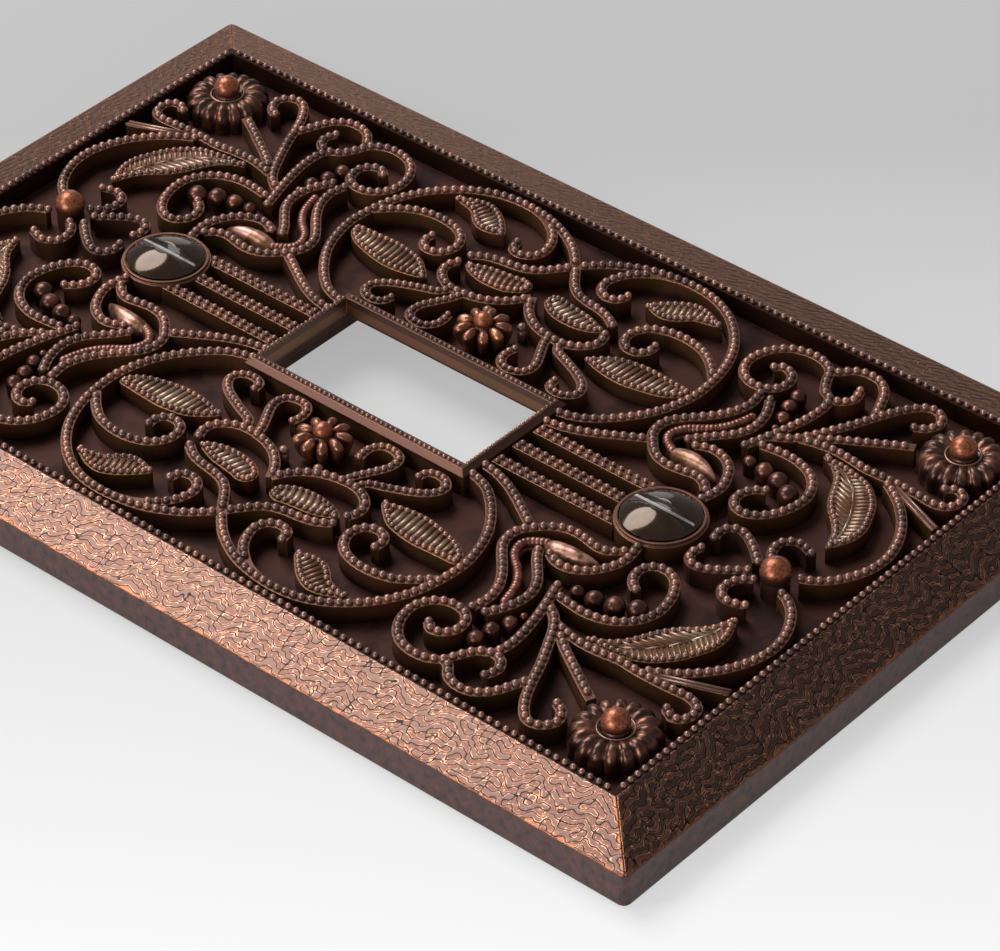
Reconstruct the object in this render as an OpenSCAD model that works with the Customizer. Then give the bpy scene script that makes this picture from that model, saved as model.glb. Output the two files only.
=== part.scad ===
// Filigree wall plate cover for one toggle switch, with its two screws.
// Millimetres. The plate lies on its back: Z = 0 is the wall face, +Z points out of
// the plate and +Y is up on the wall. One quarter of the filigree is drawn where X and Y
// are positive, and is mirrored to the other three.

/* [Plate] */
// Width of the plate across X
plate_w = 72; // [64:0.5:90]
// Length of the plate along Y
plate_l = 112; // [100:0.5:134]
// Height of the upright outer wall
wall_h = 3.2; // [2.6:0.1:3.6]
// Height of the ledge that carries the bead row inside the bevel
ledge_h = 5.2; // [4.6:0.1:5.8]
// Plan width of the textured bevel
bevel_run = 5.5; // [5:0.1:6]
// Plan width of the ledge inside the bevel
ledge_w = 0.7; // [0.5:0.1:0.9]
// Radius on the four upright corners
corner_r = 0.7; // [0.4:0.1:1.5]
// Thickness of the cast shell of the frame
shell_t = 1.4; // [1.2:0.1:1.6]

/* [Back panel] */
// Height of the sunk floor under the filigree
floor_z = 3.1; // [2.8:0.1:3.4]
// Thickness of the floor
floor_t = 1; // [0.8:0.1:1.2]

/* [Toggle opening] */
// Width of the opening
opening_w = 11.7; // [10.4:0.1:13]
// Length of the opening
opening_l = 25; // [22.4:0.1:27.6]
// Width of the raised bezel along the sides of the opening
bezel_side = 1.25; // [1.1:0.05:1.4]
// Width of the raised bezel at the ends of the opening
bezel_end = 0.8; // [0.75:0.05:1]
// Height of the bezel's ridge
bezel_h = 5.7; // [5.4:0.1:6]
// Thickness of the bezel's foot on the floor
bezel_foot = 0.65; // [0.5:0.05:0.7]
// Depth of the thin lip round the opening
lip_depth = 1.8; // [1.4:0.1:2]

/* [Screws] */
// Distance between the two screws
screw_spacing = 60.3; // [60:0.1:60.6]
// Major diameter of the screw thread
screw_d = 3.5; // [3:0.1:3.6]
// Length of the screw from the rim of its head to its tip
screw_l = 13; // [10:0.5:20]
// Diameter of the plain neck between the thread and the head's cone
neck_d = 3; // [2.8:0.1:3]
// Length of the neck and the cone under the rim of the head
neck_l = 3.7; // [3.6:0.1:4]
// Diameter of the oval head
head_d = 7.4; // [7.2:0.1:7.5]
// Height of the head's crown over its rim
crown_h = 1.15; // [0.8:0.05:1.4]
// Height of the head's rim
head_z = 5.5; // [5.4:0.05:5.6]
// Width of the screwdriver slot
slot_w = 1.1; // [0.8:0.1:1.3]
// Depth of the screwdriver slot
slot_depth = 0.85; // [0.6:0.05:1.1]
// Outside diameter of the raised collar
collar_d = 8.5; // [8.4:0.1:8.8]
// Width of the step outside the collar's rim
collar_step = 0.2; // [0.15:0.05:0.25]
// Height of that step
step_h = 5.1; // [4.8:0.1:5.2]
// Height of the collar's rim
collar_h = 5.4; // [5.3:0.05:5.5]
// Depth of the cup inside the rim, down to the cone for the screw's head
cup_depth = 0.5; // [0.3:0.1:0.8]
// Gap between a screw and the pieces round it
screw_clear = 0.12; // [0.08:0.02:0.16]

/* [Filigree] */
// Width of the scroll walls
wire_w = 1; // [0.8:0.05:1]
// Height of the scroll walls over the floor
wire_h = 1.9; // [1.4:0.1:2.2]
// Width of the straight ribs
rib_w = 1.2; // [0.9:0.1:1.3]
// Distance between the straight ribs
rib_pitch = 2.8; // [2.7:0.05:2.8]
// Width of the thin spike beside the stalk
spike_w = 0.8; // [0.6:0.05:0.9]
// Width of the rope in the ribbon
rope_w = 0.9; // [0.7:0.05:0.9]
// Height of the raised leaves over the floor
leaf_h = 1.7; // [1.2:0.1:2]
// Height of the rope over the floor
rope_h = 1.6; // [1.2:0.1:1.8]
// Height of the smooth drop in the ribbon over the floor
drop_h = 2.2; // [1.8:0.1:2.4]
// Radius of the drop's back along its length
drop_back_r = 6; // [5:0.5:9]
// Radius of the drop's back across its length
drop_side_r = 1.5; // [1.4:0.1:2]
// Gap between neighbouring pieces of the filigree
part_gap = 0.1; // [0.05:0.05:0.15]

/* [Rosettes and flowers] */
// Radius of a corner rosette
rosette_r = 4.3; // [4:0.1:4.3]
// Number of petals in a corner rosette
rosette_petals = 16; // [14:1:18]
// Radius of the boss in a rosette
boss_r = 1.3; // [1.2:0.1:1.5]
// Height of the boss's widest place over the floor
boss_h = 2.8; // [2.4:0.1:3]
// Height of a rosette's petals over the floor
petal_h = 2.6; // [2:0.1:2.8]
// Radius of a side flower
flower_r = 2.9; // [2.5:0.1:2.9]
// Number of petals in a side flower
flower_petals = 9; // [7:1:10]
// Height of a side flower's petals over the floor
flower_h = 3; // [2.4:0.1:3.2]
// Radius of a side flower's heart
heart_r = 0.9; // [0.8:0.1:1.1]
// Height of the heart's widest place over the floor
heart_h = 3; // [2.6:0.1:3.2]
// Radius of the two buds beside a side flower
bud_r = 0.5; // [0.35:0.05:0.5]
// Radius of the ball in an end finial
ball_r = 1.45; // [1.2:0.05:1.5]

/* [Hidden] */
$fn = 48;
frame_w = bevel_run + ledge_w;
field_w = plate_w - 2 * frame_w;
field_l = plate_l - 2 * frame_w;
panel_z = floor_z - floor_t;
screw_y = screw_spacing / 2;
collar_r = collar_d / 2;
head_r = head_d / 2;
shank_r = screw_d / 2;
neck_r = neck_d / 2;
neck_z = head_z - neck_l;
tip_z = head_z - screw_l;
// An oval head's cone has an angle of 82 degrees.
cone_slope = tan(41);
cone_z = head_z - (head_r - neck_r) / cone_slope;
// The hole stays straight for a little way over the floor, and then opens with the head's cone.
bore_h = 0.15;
hole_r = max(shank_r, neck_r + (floor_z + bore_h - cone_z) * cone_slope) + screw_clear;
crown_r = (head_r * head_r + crown_h * crown_h) / (2 * crown_h);
tip_in = 0.4;
tip_rise = 0.6;
bezel_w = opening_w + 2 * bezel_side;
bezel_l = opening_l + 2 * bezel_end;
bezel_chamfer = 0.5;
hole_w = bezel_w - 2 * bezel_foot;
hole_l = bezel_l - 2 * bezel_foot;
// The hollow's slope starts lower than the bevel and ends closer to the field.
hollow_drop = 0.9;
hollow_lead = 0.35;
ball_h = 2.6;
bud_h = 1.5;
// A petal's back from its tip to its root, as shares of its reach and its height.
dome_shares = [[1.02, 0.4], [0.95, 0.62], [0.82, 0.86], [0.62, 1], [0, 1]];
// A berry's neck is a little narrower than its ball.
neck_share = 0.9;
cut = 0.5;
steps = 3;

// The filigree is drawn for these places of the bezel's edge, the collar and the field's edge.
drawn_bezel_x = 7.1;
drawn_field_x = 29.8;
drawn_bezel_y = 13.3;
drawn_collar_low = 25.9;
drawn_collar_high = 34.4;
drawn_field_y = 49.8;
// It moves with them, and its walls get thinner where they come closer.
across = [[0, 0], [drawn_bezel_x, bezel_w / 2], [drawn_field_x, field_w / 2]];
along = [[0, 0], [drawn_bezel_y, bezel_l / 2], [drawn_collar_low, screw_y - collar_r],
    [drawn_collar_high, screw_y + collar_r], [drawn_field_y, field_l / 2]];
function slopes(track) = [for (i = [1 : len(track) - 1])
    (track[i][1] - track[i - 1][1]) / (track[i][0] - track[i - 1][0])];
function placed(point) = [lookup(point[0], across), lookup(point[1], along)];
fit = min(1, min(slopes(across)), min(slopes(along)));
// A round piece keeps the share of its size that there is room for between its two sides.
function span(track, from, to) = (lookup(to, track) - lookup(from, track)) / (to - from);
function room(point, reach) = min(1,
    span(across, max(0, point[0] - reach), point[0] + reach),
    span(along, max(0, point[1] - reach), point[1] + reach));

// Middles of a corner rosette, a side flower, the bud above it, a finial's ball and a ribbon's drop.
rosette_place = [24.1, 45.1];
flower_place = [10.9, 0];
bud_place = [13.9, 2.1];
ball_place = [0, 42.9];
drop_place = [8.4, 26.9];
rosette_at = placed(rosette_place);
rosette_room = room(rosette_place, rosette_r);
flower_at = placed(flower_place);
flower_room = room(flower_place, flower_r);
bud_at = placed(bud_place);
bud_room = room(bud_place, bud_r);
ball_at = placed(ball_place);
ball_room = room(ball_place, ball_r);
drop_at = placed(drop_place);

// Routes of the scroll walls, with X and Y from the middle of the plate.
ring_route = [[5.7, 12.6], [6.4, 15.2], [7.7, 17], [9.3, 18.5], [11.2, 19.8], [13.4, 20.7],
    [15.8, 21.2], [18.2, 21.1], [20.4, 20.7], [22.4, 20], [24.3, 18.9], [26, 17.4], [27.4, 15.6],
    [28.4, 13.4], [28.8, 11], [28.7, 8.5], [28.2, 6], [27.3, 3.9], [26, 1.9], [24.1, 0]];
ring_return_route = [[24.1, 0], [22.8, 1], [21.7, 1.9], [20.9, 3], [20.5, 4.4], [20.3, 5.9],
    [19.9, 7.4], [19.1, 8.7]];
ring_loop_route = [[17.8, 0], [16.4, 0.8], [15.3, 1.9], [14.5, 3.3], [14.1, 4.9], [14, 6.5],
    [14.4, 7.9], [15.3, 9], [16.5, 9.4], [17.6, 9]];
ring_hook_route = [[28.7, 8.8], [28.2, 7.2], [27.4, 5.9], [26.4, 4.8], [25.2, 4.1], [23.8, 3.8],
    [22.7, 4.3], [22.2, 5.3], [22.5, 6.4], [23.6, 6.8]];
ring_scroll_route = [[18.8, 20.8], [20.2, 19.4], [21.2, 18], [21.7, 16.6], [21.9, 15],
    [21.7, 13.2], [21, 11.7], [19.7, 10.8], [18.4, 10.8], [17.4, 11.6], [17.3, 12.9], [18.1, 13.7],
    [19.2, 13.7]];
flower_curl_route = [[14.1, 5.2], [12.9, 5.6], [11.6, 6.3], [10.3, 7], [9.2, 7.2], [8.3, 6.8],
    [7.9, 5.8], [8, 4.8], [8.7, 4.1], [9.7, 3.9], [10.6, 4.1]];
bezel_curl_route = [[14, 6.6], [12.9, 7.3], [12.4, 8.5], [11.9, 9.7], [11.3, 11], [10.6, 12.1],
    [9.7, 12.8], [8.8, 12.8], [8.1, 12], [8, 11], [8.4, 10.2], [9.3, 10]];
spray_spiral_route = [[12.9, 29.2], [15, 29.9], [17.4, 30.6], [19.8, 31.1], [21.8, 31.2],
    [23.2, 30.8], [23.9, 29.7], [25.2, 28.9], [26.6, 28.2], [27.4, 26.8], [27.5, 25.2], [27, 23.6],
    [25.9, 22.4], [24.4, 21.7], [22.8, 21.6], [21.4, 22.3], [20.6, 23.6], [20.6, 25.1],
    [21.4, 26.2], [22.8, 26.5], [23.9, 25.9], [24.3, 24.8], [23.7, 24]];
spray_hook_route = [[23.2, 30.8], [23.5, 31.9], [24.6, 32.6], [25.9, 32.2]];
spray_tendril_route = [[15.3, 30.2], [16.2, 31.6], [17.4, 32.6], [19.4, 33.7], [21.8, 34.9],
    [24.2, 35.9], [26.3, 37], [27.8, 38.4], [27.8, 39.8], [26.6, 40.7], [25.3, 40.2],
    [24.7, 39.2]];
spray_loop_route = [[23.6, 35.6], [25.3, 34.9], [27, 34.1], [28.2, 32.8], [28.4, 31.2],
    [27.9, 29.9], [26.9, 29], [26.6, 28.2]];
spray_stem_route = [[17.4, 33.2], [18.8, 35], [20.3, 37.4], [21.6, 39.5], [22.8, 41.6]];
spray_stalk_route = [[16.8, 32.4], [17.4, 35], [17.4, 37.4], [17.1, 39.6], [17.2, 41.6],
    [17.2, 43.6], [17.1, 45.6], [17, 47.2], [17.5, 48.4], [18.6, 48.8], [19.6, 48.4], [19.9, 47.5],
    [19.3, 46.6]];
spray_spike_route = [[16.9, 42.6], [15.6, 46], [14.3, 49.3]];
spray_garland_route = [[16.6, 42.4], [15.4, 44.3], [13.8, 46], [12, 47.3], [10, 48.2], [8, 48.6],
    [6, 48.4], [4.2, 47.7], [2.7, 46.7], [1.7, 45.5], [1.3, 44.6]];
grape_scroll_route = [[13.9, 30.4], [14.1, 31.8], [14.2, 33.4], [13.9, 35], [13.2, 36.4],
    [12, 37.5], [10.4, 38.1], [8.8, 38], [7.3, 37.5], [6, 36.6], [5.3, 35.4], [5.4, 34.2],
    [6.2, 33.4], [7.3, 33.3], [8.3, 33.8], [9, 34.7]];
ribbon_outer_route = [[19.8, 25.5], [18.2, 25.8], [16.6, 25.5], [15.2, 24.8], [13.9, 23.8],
    [12.7, 22.7], [11.5, 21.8], [10.2, 21.5], [9, 21.8], [8, 22.6], [7.1, 23.5], [6.5, 24.6],
    [6.3, 26], [6.5, 27.4], [6.7, 28.6], [6.4, 29.7], [5.6, 30.6]];
ribbon_rope_route = [[17, 26.8], [15.2, 26.3], [13.8, 25.5], [12.8, 24.5], [12, 23.5], [11, 22.9],
    [10, 22.8], [9.2, 23.4], [8.6, 24.6]];
ribbon_inner_route = [[19.6, 26.8], [18.2, 27.6], [16.6, 28.1], [15, 28.1], [13.6, 27.5],
    [12.4, 26.5], [11.3, 25.5], [10.3, 24.8]];
ribbon_cup_route = [[10, 25.9], [10.5, 26.9], [10.6, 28], [10.2, 29.2], [9.4, 30.2], [8.3, 30.9],
    [7, 31.4], [5.7, 31.4], [4.4, 31.1]];
ribbon_stem_route = [[4.1, 12.6], [4.4, 14.8], [5, 16.6], [5.8, 18.2], [6.7, 19.7], [7.5, 21],
    [8.2, 22.2]];
finial_heart_route = [[0.9, 35.4], [1.8, 35.2], [2.7, 35.5], [3.2, 36.4], [2.9, 37.5], [2.2, 38.6],
    [1.4, 39.6], [0.7, 40.4]];
finial_arm_route = [[1.4, 41.6], [2, 40.8], [2.9, 40.3], [3.9, 40.2], [4.7, 40.7], [5.1, 41.6],
    [4.9, 42.5], [4.6, 43.2]];

// Outlines of the leaves and of the ribbon's drop.
tall_leaf = [[14, 9.8], [15.1, 10.9], [16, 12.2], [16.4, 13.8], [16.6, 15.6], [16.5, 17.4],
    [16.4, 19], [16.2, 20.4], [15, 20.3], [13.9, 18.9], [13.3, 17], [12.9, 15], [12.9, 13.2],
    [13.2, 11.4], [13.6, 10.2]];
loop_leaf = [[19.3, 1.2], [18.1, 1.2], [17.1, 2.5], [16.7, 4.2], [16.8, 6.2], [17.4, 7.8],
    [18.1, 8.4], [18.7, 7.4], [19.2, 6], [19.4, 4.6], [19.6, 3.2], [19.8, 2.2]];
side_leaf = [[24, 8.7], [25.2, 9.7], [26.3, 11], [27, 12.5], [26.9, 14], [26.3, 15.4],
    [25.6, 16.4], [25.2, 15.2], [24.8, 13.8], [23.8, 12.7], [23.2, 11.6], [23.2, 10.3],
    [23.6, 9.2]];
acanthus_leaf = [[16.4, 35.4], [15.6, 36.8], [14.6, 37.9], [13.2, 38.7], [11.8, 39.4],
    [10.5, 40.4], [9.4, 41.6], [8.2, 42.6], [6.2, 43.5], [7.4, 44.3], [8.8, 44.8], [10.4, 44.8],
    [12, 44.2], [13.6, 43.4], [15, 42.2], [16, 40.8], [16.4, 39.2], [16.7, 37.4]];
drop_outline = [[8.2, 23.9], [9.1, 24.6], [9.5, 25.8], [9.6, 27.2], [9.2, 28.6], [8.4, 29.6],
    [7.7, 29.9], [7.3, 29.2], [7.3, 27.8], [7.2, 26.4], [7.2, 25.2], [7.6, 24.3]];

// Grapes: X, Y and radius.
grape_places = [[11.9, 30.6, 0.7], [11.7, 32.4, 0.9], [11.3, 34.3, 1], [10.4, 36.1, 1],
    [22.2, 28, 0.8], [20.5, 28.3, 0.8], [18.8, 28.9, 0.75], [17.3, 29.2, 0.4]];
grape_h = 1.2;

antique = [0.36, 0.24, 0.2];
copper = [0.66, 0.38, 0.26];
gunmetal = [0.3, 0.29, 0.28];

// A smooth curve through four points, from the second to the third.
function curve(a, b, c, d, t) =
    (2 * b + (c - a) * t + (2 * a - 5 * b + 4 * c - d) * t * t + (3 * b - a - 3 * c + d) * t * t * t) / 2;
function at_end(route, i) = route[max(0, min(len(route) - 1, i))];
function smooth(route) = concat(
    [for (i = [0 : len(route) - 2], k = [0 : steps - 1])
        curve(at_end(route, i - 1), route[i], route[i + 1], at_end(route, i + 2), k / steps)],
    [route[len(route) - 1]]);
function around(outline, i) = outline[(i + len(outline)) % len(outline)];
function smooth_loop(outline) = [for (i = [0 : len(outline) - 1], k = [0 : steps - 1])
    curve(around(outline, i - 1), outline[i], around(outline, i + 1), around(outline, i + 2), k / steps)];
function side_of(line, i, reach) =
    let (along = at_end(line, i + 1) - at_end(line, i - 1))
    line[i] + reach * [-along[1], along[0]] / norm(along);
function both_sides(line, reach) = concat(
    [for (i = [0 : len(line) - 1]) side_of(line, i, reach)],
    [for (i = [len(line) - 1 : -1 : 0]) side_of(line, i, -reach)]);

// One scroll wall in plan.
module wire(route, width = wire_w) {
    polygon(both_sides(smooth([for (point = route) placed(point)]), fit * width / 2));
}

// One leaf in plan.
module leaf(outline) {
    polygon(smooth_loop([for (point = outline) placed(point)]));
}

// The smooth drop in plan.
module drop_plan() {
    polygon([for (point = drop_outline) placed(point)]);
}

// Raises plan shapes from the floor.
module on_floor(height) {
    translate([0, 0, floor_z])
        linear_extrude(height)
            children();
}

// Keeps plan shapes inside one quarter, clear of its mirror images.
module in_quarter() {
    intersection() {
        children();
        translate([part_gap / 2, part_gap / 2])
            square([field_w / 2, field_l / 2]);
    }
}

module bezel_plan() {
    square([bezel_w + 2 * part_gap, bezel_l + 2 * part_gap], center = true);
}

module collar_plan() {
    translate([0, screw_y])
        circle(collar_r + part_gap);
}

// Mirrors a quarter's piece to its own corner.
module corner(side_x, side_y) {
    mirror([side_x < 0 ? 1 : 0, 0, 0])
        mirror([0, side_y < 0 ? 1 : 0, 0])
            children();
}

// A block with four sloping sides: half width, half length and height of the foot and of the top.
module hipped_block(foot, top, base_z) {
    intersection() {
        rotate([90, 0, 0])
            linear_extrude(2 * foot[1], center = true)
                polygon([[-foot[0], base_z], [-foot[0], foot[2]], [-top[0], top[2]],
                    [top[0], top[2]], [foot[0], foot[2]], [foot[0], base_z]]);
        rotate([90, 0, 90])
            linear_extrude(2 * foot[0], center = true)
                polygon([[-foot[1], base_z], [-foot[1], foot[2]], [-top[1], top[2]],
                    [top[1], top[2]], [foot[1], foot[2]], [foot[1], base_z]]);
    }
}

module box_up(width, length, z, height) {
    translate([-width / 2, -length / 2, z])
        cube([width, length, height]);
}

// A ball on a short neck, so that it has a flat foot.
module berry(radius, height) {
    cylinder(r = radius * neck_share, h = height);
    translate([0, 0, height])
        sphere(radius);
}

module rounded_plate() {
    linear_extrude(2 * ledge_h)
        polygon([for (k = [0 : 3], a = [0 : 30 : 90])
            let (sx = k == 0 || k == 3 ? 1 : -1, sy = k < 2 ? 1 : -1)
            [sx * (plate_w / 2 - corner_r), sy * (plate_l / 2 - corner_r)]
                + corner_r * [cos(a + 90 * k), sin(a + 90 * k)]]);
}

// Frame: upright wall, bevel and ledge, hollow behind.
module frame() {
    wall = [plate_w / 2, plate_l / 2, wall_h];
    ledge = [plate_w / 2 - bevel_run, plate_l / 2 - bevel_run, ledge_h];
    hollow_wall = wall - [shell_t, shell_t, hollow_drop];
    hollow_ledge = ledge - [hollow_lead, hollow_lead, shell_t];
    color(antique)
        difference() {
            intersection() {
                hipped_block(wall, ledge, 0);
                rounded_plate();
            }
            box_up(field_w, field_l, -cut, 2 * ledge_h);
            difference() {
                hipped_block(hollow_wall, hollow_ledge, -cut);
                box_up(field_w + 2 * shell_t, field_l + 2 * shell_t, panel_z, 2 * ledge_h);
            }
        }
}

// Back panel: the sunk floor, relieved behind the long sides of the toggle opening.
module back_panel() {
    relief = floor_t + cut;
    color(antique)
        difference() {
            box_up(field_w, field_l, panel_z, floor_t);
            box_up(hole_w, hole_l, panel_z - cut, floor_t + 2 * cut);
            rotate([90, 0, 0])
                linear_extrude(hole_l, center = true)
                    polygon([[-hole_w / 2, floor_z], [hole_w / 2, floor_z],
                        [hole_w / 2 + relief, floor_z - relief], [-hole_w / 2 - relief, floor_z - relief]]);
            for (side = [-1, 1])
                translate([0, side * screw_y, panel_z - cut])
                    cylinder(r = hole_r, h = floor_t + 2 * cut);
        }
}

// Bezel: a ridge round the toggle opening, with a thin lip inside.
module toggle_bezel() {
    wide = [bezel_w / 2, bezel_l / 2, bezel_h - bezel_chamfer];
    ridge = [bezel_w / 2 - bezel_chamfer, bezel_l / 2 - bezel_chamfer, bezel_h];
    color(antique)
        difference() {
            hipped_block(wide, ridge, floor_z);
            box_up(opening_w, opening_l, 0, 2 * bezel_h);
            box_up(hole_w, hole_l, 0, bezel_h - lip_depth);
        }
}

// Oval-head screw, standing on its own axis.
module screw() {
    color(gunmetal)
        difference() {
            union() {
                rotate_extrude()
                    polygon([[0, tip_z], [shank_r - tip_in, tip_z], [shank_r, tip_z + tip_rise],
                        [shank_r, neck_z], [neck_r, neck_z], [neck_r, cone_z],
                        [head_r, head_z], [0, head_z]]);
                intersection() {
                    translate([0, 0, head_z + crown_h - crown_r])
                        sphere(crown_r, $fn = 96);
                    translate([0, 0, head_z])
                        cylinder(r = head_r, h = 2 * crown_h);
                }
            }
            translate([-slot_w / 2, -head_d, head_z + crown_h - slot_depth])
                cube([slot_w, 2 * head_d, 2 * slot_depth]);
        }
}

module upper_screw() {
    translate([0, screw_y, 0])
        screw();
}

module lower_screw() {
    translate([0, -screw_y, 0])
        screw();
}

// Collar: a raised ring with a stepped rim, and a cup and a cone for the screw's head.
module collar() {
    rim_r = collar_r - collar_step;
    cup_r = head_r + screw_clear;
    cup_z = collar_h - cup_depth;
    seat_r = neck_r + (cup_z - cone_z) * cone_slope + screw_clear;
    bore_z = cone_z + (hole_r - screw_clear - neck_r) / cone_slope;
    color(antique)
        rotate_extrude()
            polygon([[hole_r, floor_z], [collar_r, floor_z], [collar_r, step_h], [rim_r, step_h],
                [rim_r, collar_h], [cup_r, collar_h], [cup_r, cup_z], [seat_r, cup_z],
                [hole_r, bore_z]]);
}

module upper_collar() {
    translate([0, screw_y, 0])
        collar();
}

module lower_collar() {
    translate([0, -screw_y, 0])
        collar();
}

// Three straight ribs from the bezel to a collar.
module ribs() {
    color(antique)
        on_floor(wire_h)
            difference() {
                for (k = [-1 : 1])
                    translate([k * rib_pitch - rib_w / 2, 0])
                        square([rib_w, screw_y]);
                bezel_plan();
                collar_plan();
            }
}

module upper_ribs() {
    ribs();
}

module lower_ribs() {
    corner(1, -1)
        ribs();
}

// End finial: a ball with four tendrils.
module finial() {
    color(copper)
        translate([ball_at[0], ball_at[1], floor_z])
            berry(ball_room * ball_r, ball_h);
    color(antique)
        on_floor(wire_h)
            for (side = [-1, 1])
                corner(side, 1) {
                    wire(finial_heart_route);
                    wire(finial_arm_route);
                }
}

module upper_finial() {
    finial();
}

module lower_finial() {
    corner(1, -1)
        finial();
}

// A ring of petals: each is a drop that widens outwards and has a round end.
module petals(count, inner_r, outer_r) {
    end_r = (outer_r * sin(180 / count) - part_gap / 2) / (1 + sin(180 / count));
    root_r = inner_r * sin(180 / count) - part_gap / 2;
    for (k = [0 : count - 1])
        rotate(360 * (k + 0.5) / count)
            polygon(concat(
                [[inner_r, -root_r]],
                [for (a = [-80 : 32 : 80]) [outer_r - end_r, 0] + end_r * [cos(a), sin(a)]],
                [[inner_r, root_r]]));
}

// Raises petals from the floor and rounds their tops down towards the tips.
module domed(radius, height) {
    intersection() {
        on_floor(2 * height)
            children();
        translate([0, 0, floor_z])
            rotate_extrude()
                polygon(concat([[0, 0], [dome_shares[0][0] * radius, 0]],
                    [for (share = dome_shares) [share[0] * radius, share[1] * height]]));
    }
}

module rosette() {
    color(antique)
        translate(rosette_at)
            domed(rosette_room * rosette_r, petal_h)
                petals(rosette_petals, rosette_room * boss_r + 2 * part_gap, rosette_room * rosette_r);
    color(copper)
        translate([rosette_at[0], rosette_at[1], floor_z])
            berry(rosette_room * boss_r, boss_h);
}

module flower() {
    color(copper)
        translate(flower_at) {
            domed(flower_room * flower_r, flower_h)
                petals(flower_petals, flower_room * heart_r + 2 * part_gap, flower_room * flower_r);
            translate([0, 0, floor_z])
                berry(flower_room * heart_r, heart_h);
        }
    color(antique)
        for (side = [-1, 1])
            translate([bud_at[0], side * bud_at[1], floor_z])
                berry(bud_room * bud_r, bud_h);
}

module left_flower() {
    corner(-1, 1)
        flower();
}

module right_flower() {
    flower();
}

// Ring scroll: the big ring, its loop and curls.
module ring_scroll() {
    color(antique)
        on_floor(wire_h)
            difference() {
                in_quarter() {
                    wire(ring_route);
                    wire(ring_return_route);
                    wire(ring_loop_route);
                    wire(ring_hook_route);
                    wire(ring_scroll_route);
                    wire(flower_curl_route);
                    wire(bezel_curl_route);
                }
                bezel_plan();
            }
}

// Three raised leaves inside the ring.
module ring_leaves() {
    color(antique)
        on_floor(leaf_h) {
            leaf(tall_leaf);
            leaf(loop_leaf);
            leaf(side_leaf);
        }
}

// Corner spray: stems and tendrils that spring from one fork.
module corner_spray() {
    color(antique)
        on_floor(wire_h)
            difference() {
                union() {
                    wire(spray_spiral_route);
                    wire(spray_hook_route);
                    wire(spray_tendril_route);
                    wire(spray_loop_route);
                    wire(spray_stem_route);
                    wire(spray_stalk_route);
                    wire(spray_spike_route, spike_w);
                    wire(spray_garland_route);
                }
                translate(rosette_at)
                    circle(rosette_room * rosette_r + part_gap);
            }
}

module acanthus() {
    color(antique)
        on_floor(leaf_h)
            leaf(acanthus_leaf);
}

// Ribbon: the walls beside the rope and the drop, and the stem that carries them.
module ribbon() {
    color(antique)
        on_floor(wire_h)
            difference() {
                union() {
                    wire(ribbon_outer_route);
                    wire(ribbon_inner_route);
                    wire(ribbon_cup_route);
                    wire(ribbon_stem_route);
                }
                bezel_plan();
                collar_plan();
            }
}

// The rope in a ribbon and the smooth drop that it runs into, rounded along and across.
module ribbon_drop() {
    top_z = floor_z + drop_h;
    color(copper) {
        on_floor(rope_h)
            difference() {
                wire(ribbon_rope_route, rope_w);
                drop_plan();
            }
        intersection() {
            on_floor(2 * drop_h)
                drop_plan();
            translate([drop_at[0], drop_at[1], top_z - drop_back_r])
                sphere(drop_back_r);
            union() {
                translate([drop_at[0], drop_at[1], top_z - drop_side_r])
                    rotate([90, 0, 0])
                        cylinder(r = drop_side_r, h = 2 * drop_back_r, center = true);
                translate([drop_at[0] - drop_side_r, 0, 0])
                    cube([2 * drop_side_r, field_l, top_z - drop_side_r]);
            }
        }
    }
}

module grape_scroll() {
    color(antique)
        on_floor(wire_h)
            wire(grape_scroll_route);
}

module grapes() {
    color(copper)
        for (place = grape_places)
            translate(concat(placed(place), floor_z))
                berry(room(place, place[2]) * place[2], grape_h);
}

module upper_left_ring_scroll() corner(-1, 1) ring_scroll();
module upper_right_ring_scroll() corner(1, 1) ring_scroll();
module lower_left_ring_scroll() corner(-1, -1) ring_scroll();
module lower_right_ring_scroll() corner(1, -1) ring_scroll();
module upper_left_ring_leaves() corner(-1, 1) ring_leaves();
module upper_right_ring_leaves() corner(1, 1) ring_leaves();
module lower_left_ring_leaves() corner(-1, -1) ring_leaves();
module lower_right_ring_leaves() corner(1, -1) ring_leaves();
module upper_left_corner_spray() corner(-1, 1) corner_spray();
module upper_right_corner_spray() corner(1, 1) corner_spray();
module lower_left_corner_spray() corner(-1, -1) corner_spray();
module lower_right_corner_spray() corner(1, -1) corner_spray();
module upper_left_acanthus() corner(-1, 1) acanthus();
module upper_right_acanthus() corner(1, 1) acanthus();
module lower_left_acanthus() corner(-1, -1) acanthus();
module lower_right_acanthus() corner(1, -1) acanthus();
module upper_left_rosette() corner(-1, 1) rosette();
module upper_right_rosette() corner(1, 1) rosette();
module lower_left_rosette() corner(-1, -1) rosette();
module lower_right_rosette() corner(1, -1) rosette();
module upper_left_ribbon() corner(-1, 1) ribbon();
module upper_right_ribbon() corner(1, 1) ribbon();
module lower_left_ribbon() corner(-1, -1) ribbon();
module lower_right_ribbon() corner(1, -1) ribbon();
module upper_left_ribbon_drop() corner(-1, 1) ribbon_drop();
module upper_right_ribbon_drop() corner(1, 1) ribbon_drop();
module lower_left_ribbon_drop() corner(-1, -1) ribbon_drop();
module lower_right_ribbon_drop() corner(1, -1) ribbon_drop();
module upper_left_grape_scroll() corner(-1, 1) grape_scroll();
module upper_right_grape_scroll() corner(1, 1) grape_scroll();
module lower_left_grape_scroll() corner(-1, -1) grape_scroll();
module lower_right_grape_scroll() corner(1, -1) grape_scroll();
module upper_left_grapes() corner(-1, 1) grapes();
module upper_right_grapes() corner(1, 1) grapes();
module lower_left_grapes() corner(-1, -1) grapes();
module lower_right_grapes() corner(1, -1) grapes();

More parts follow.
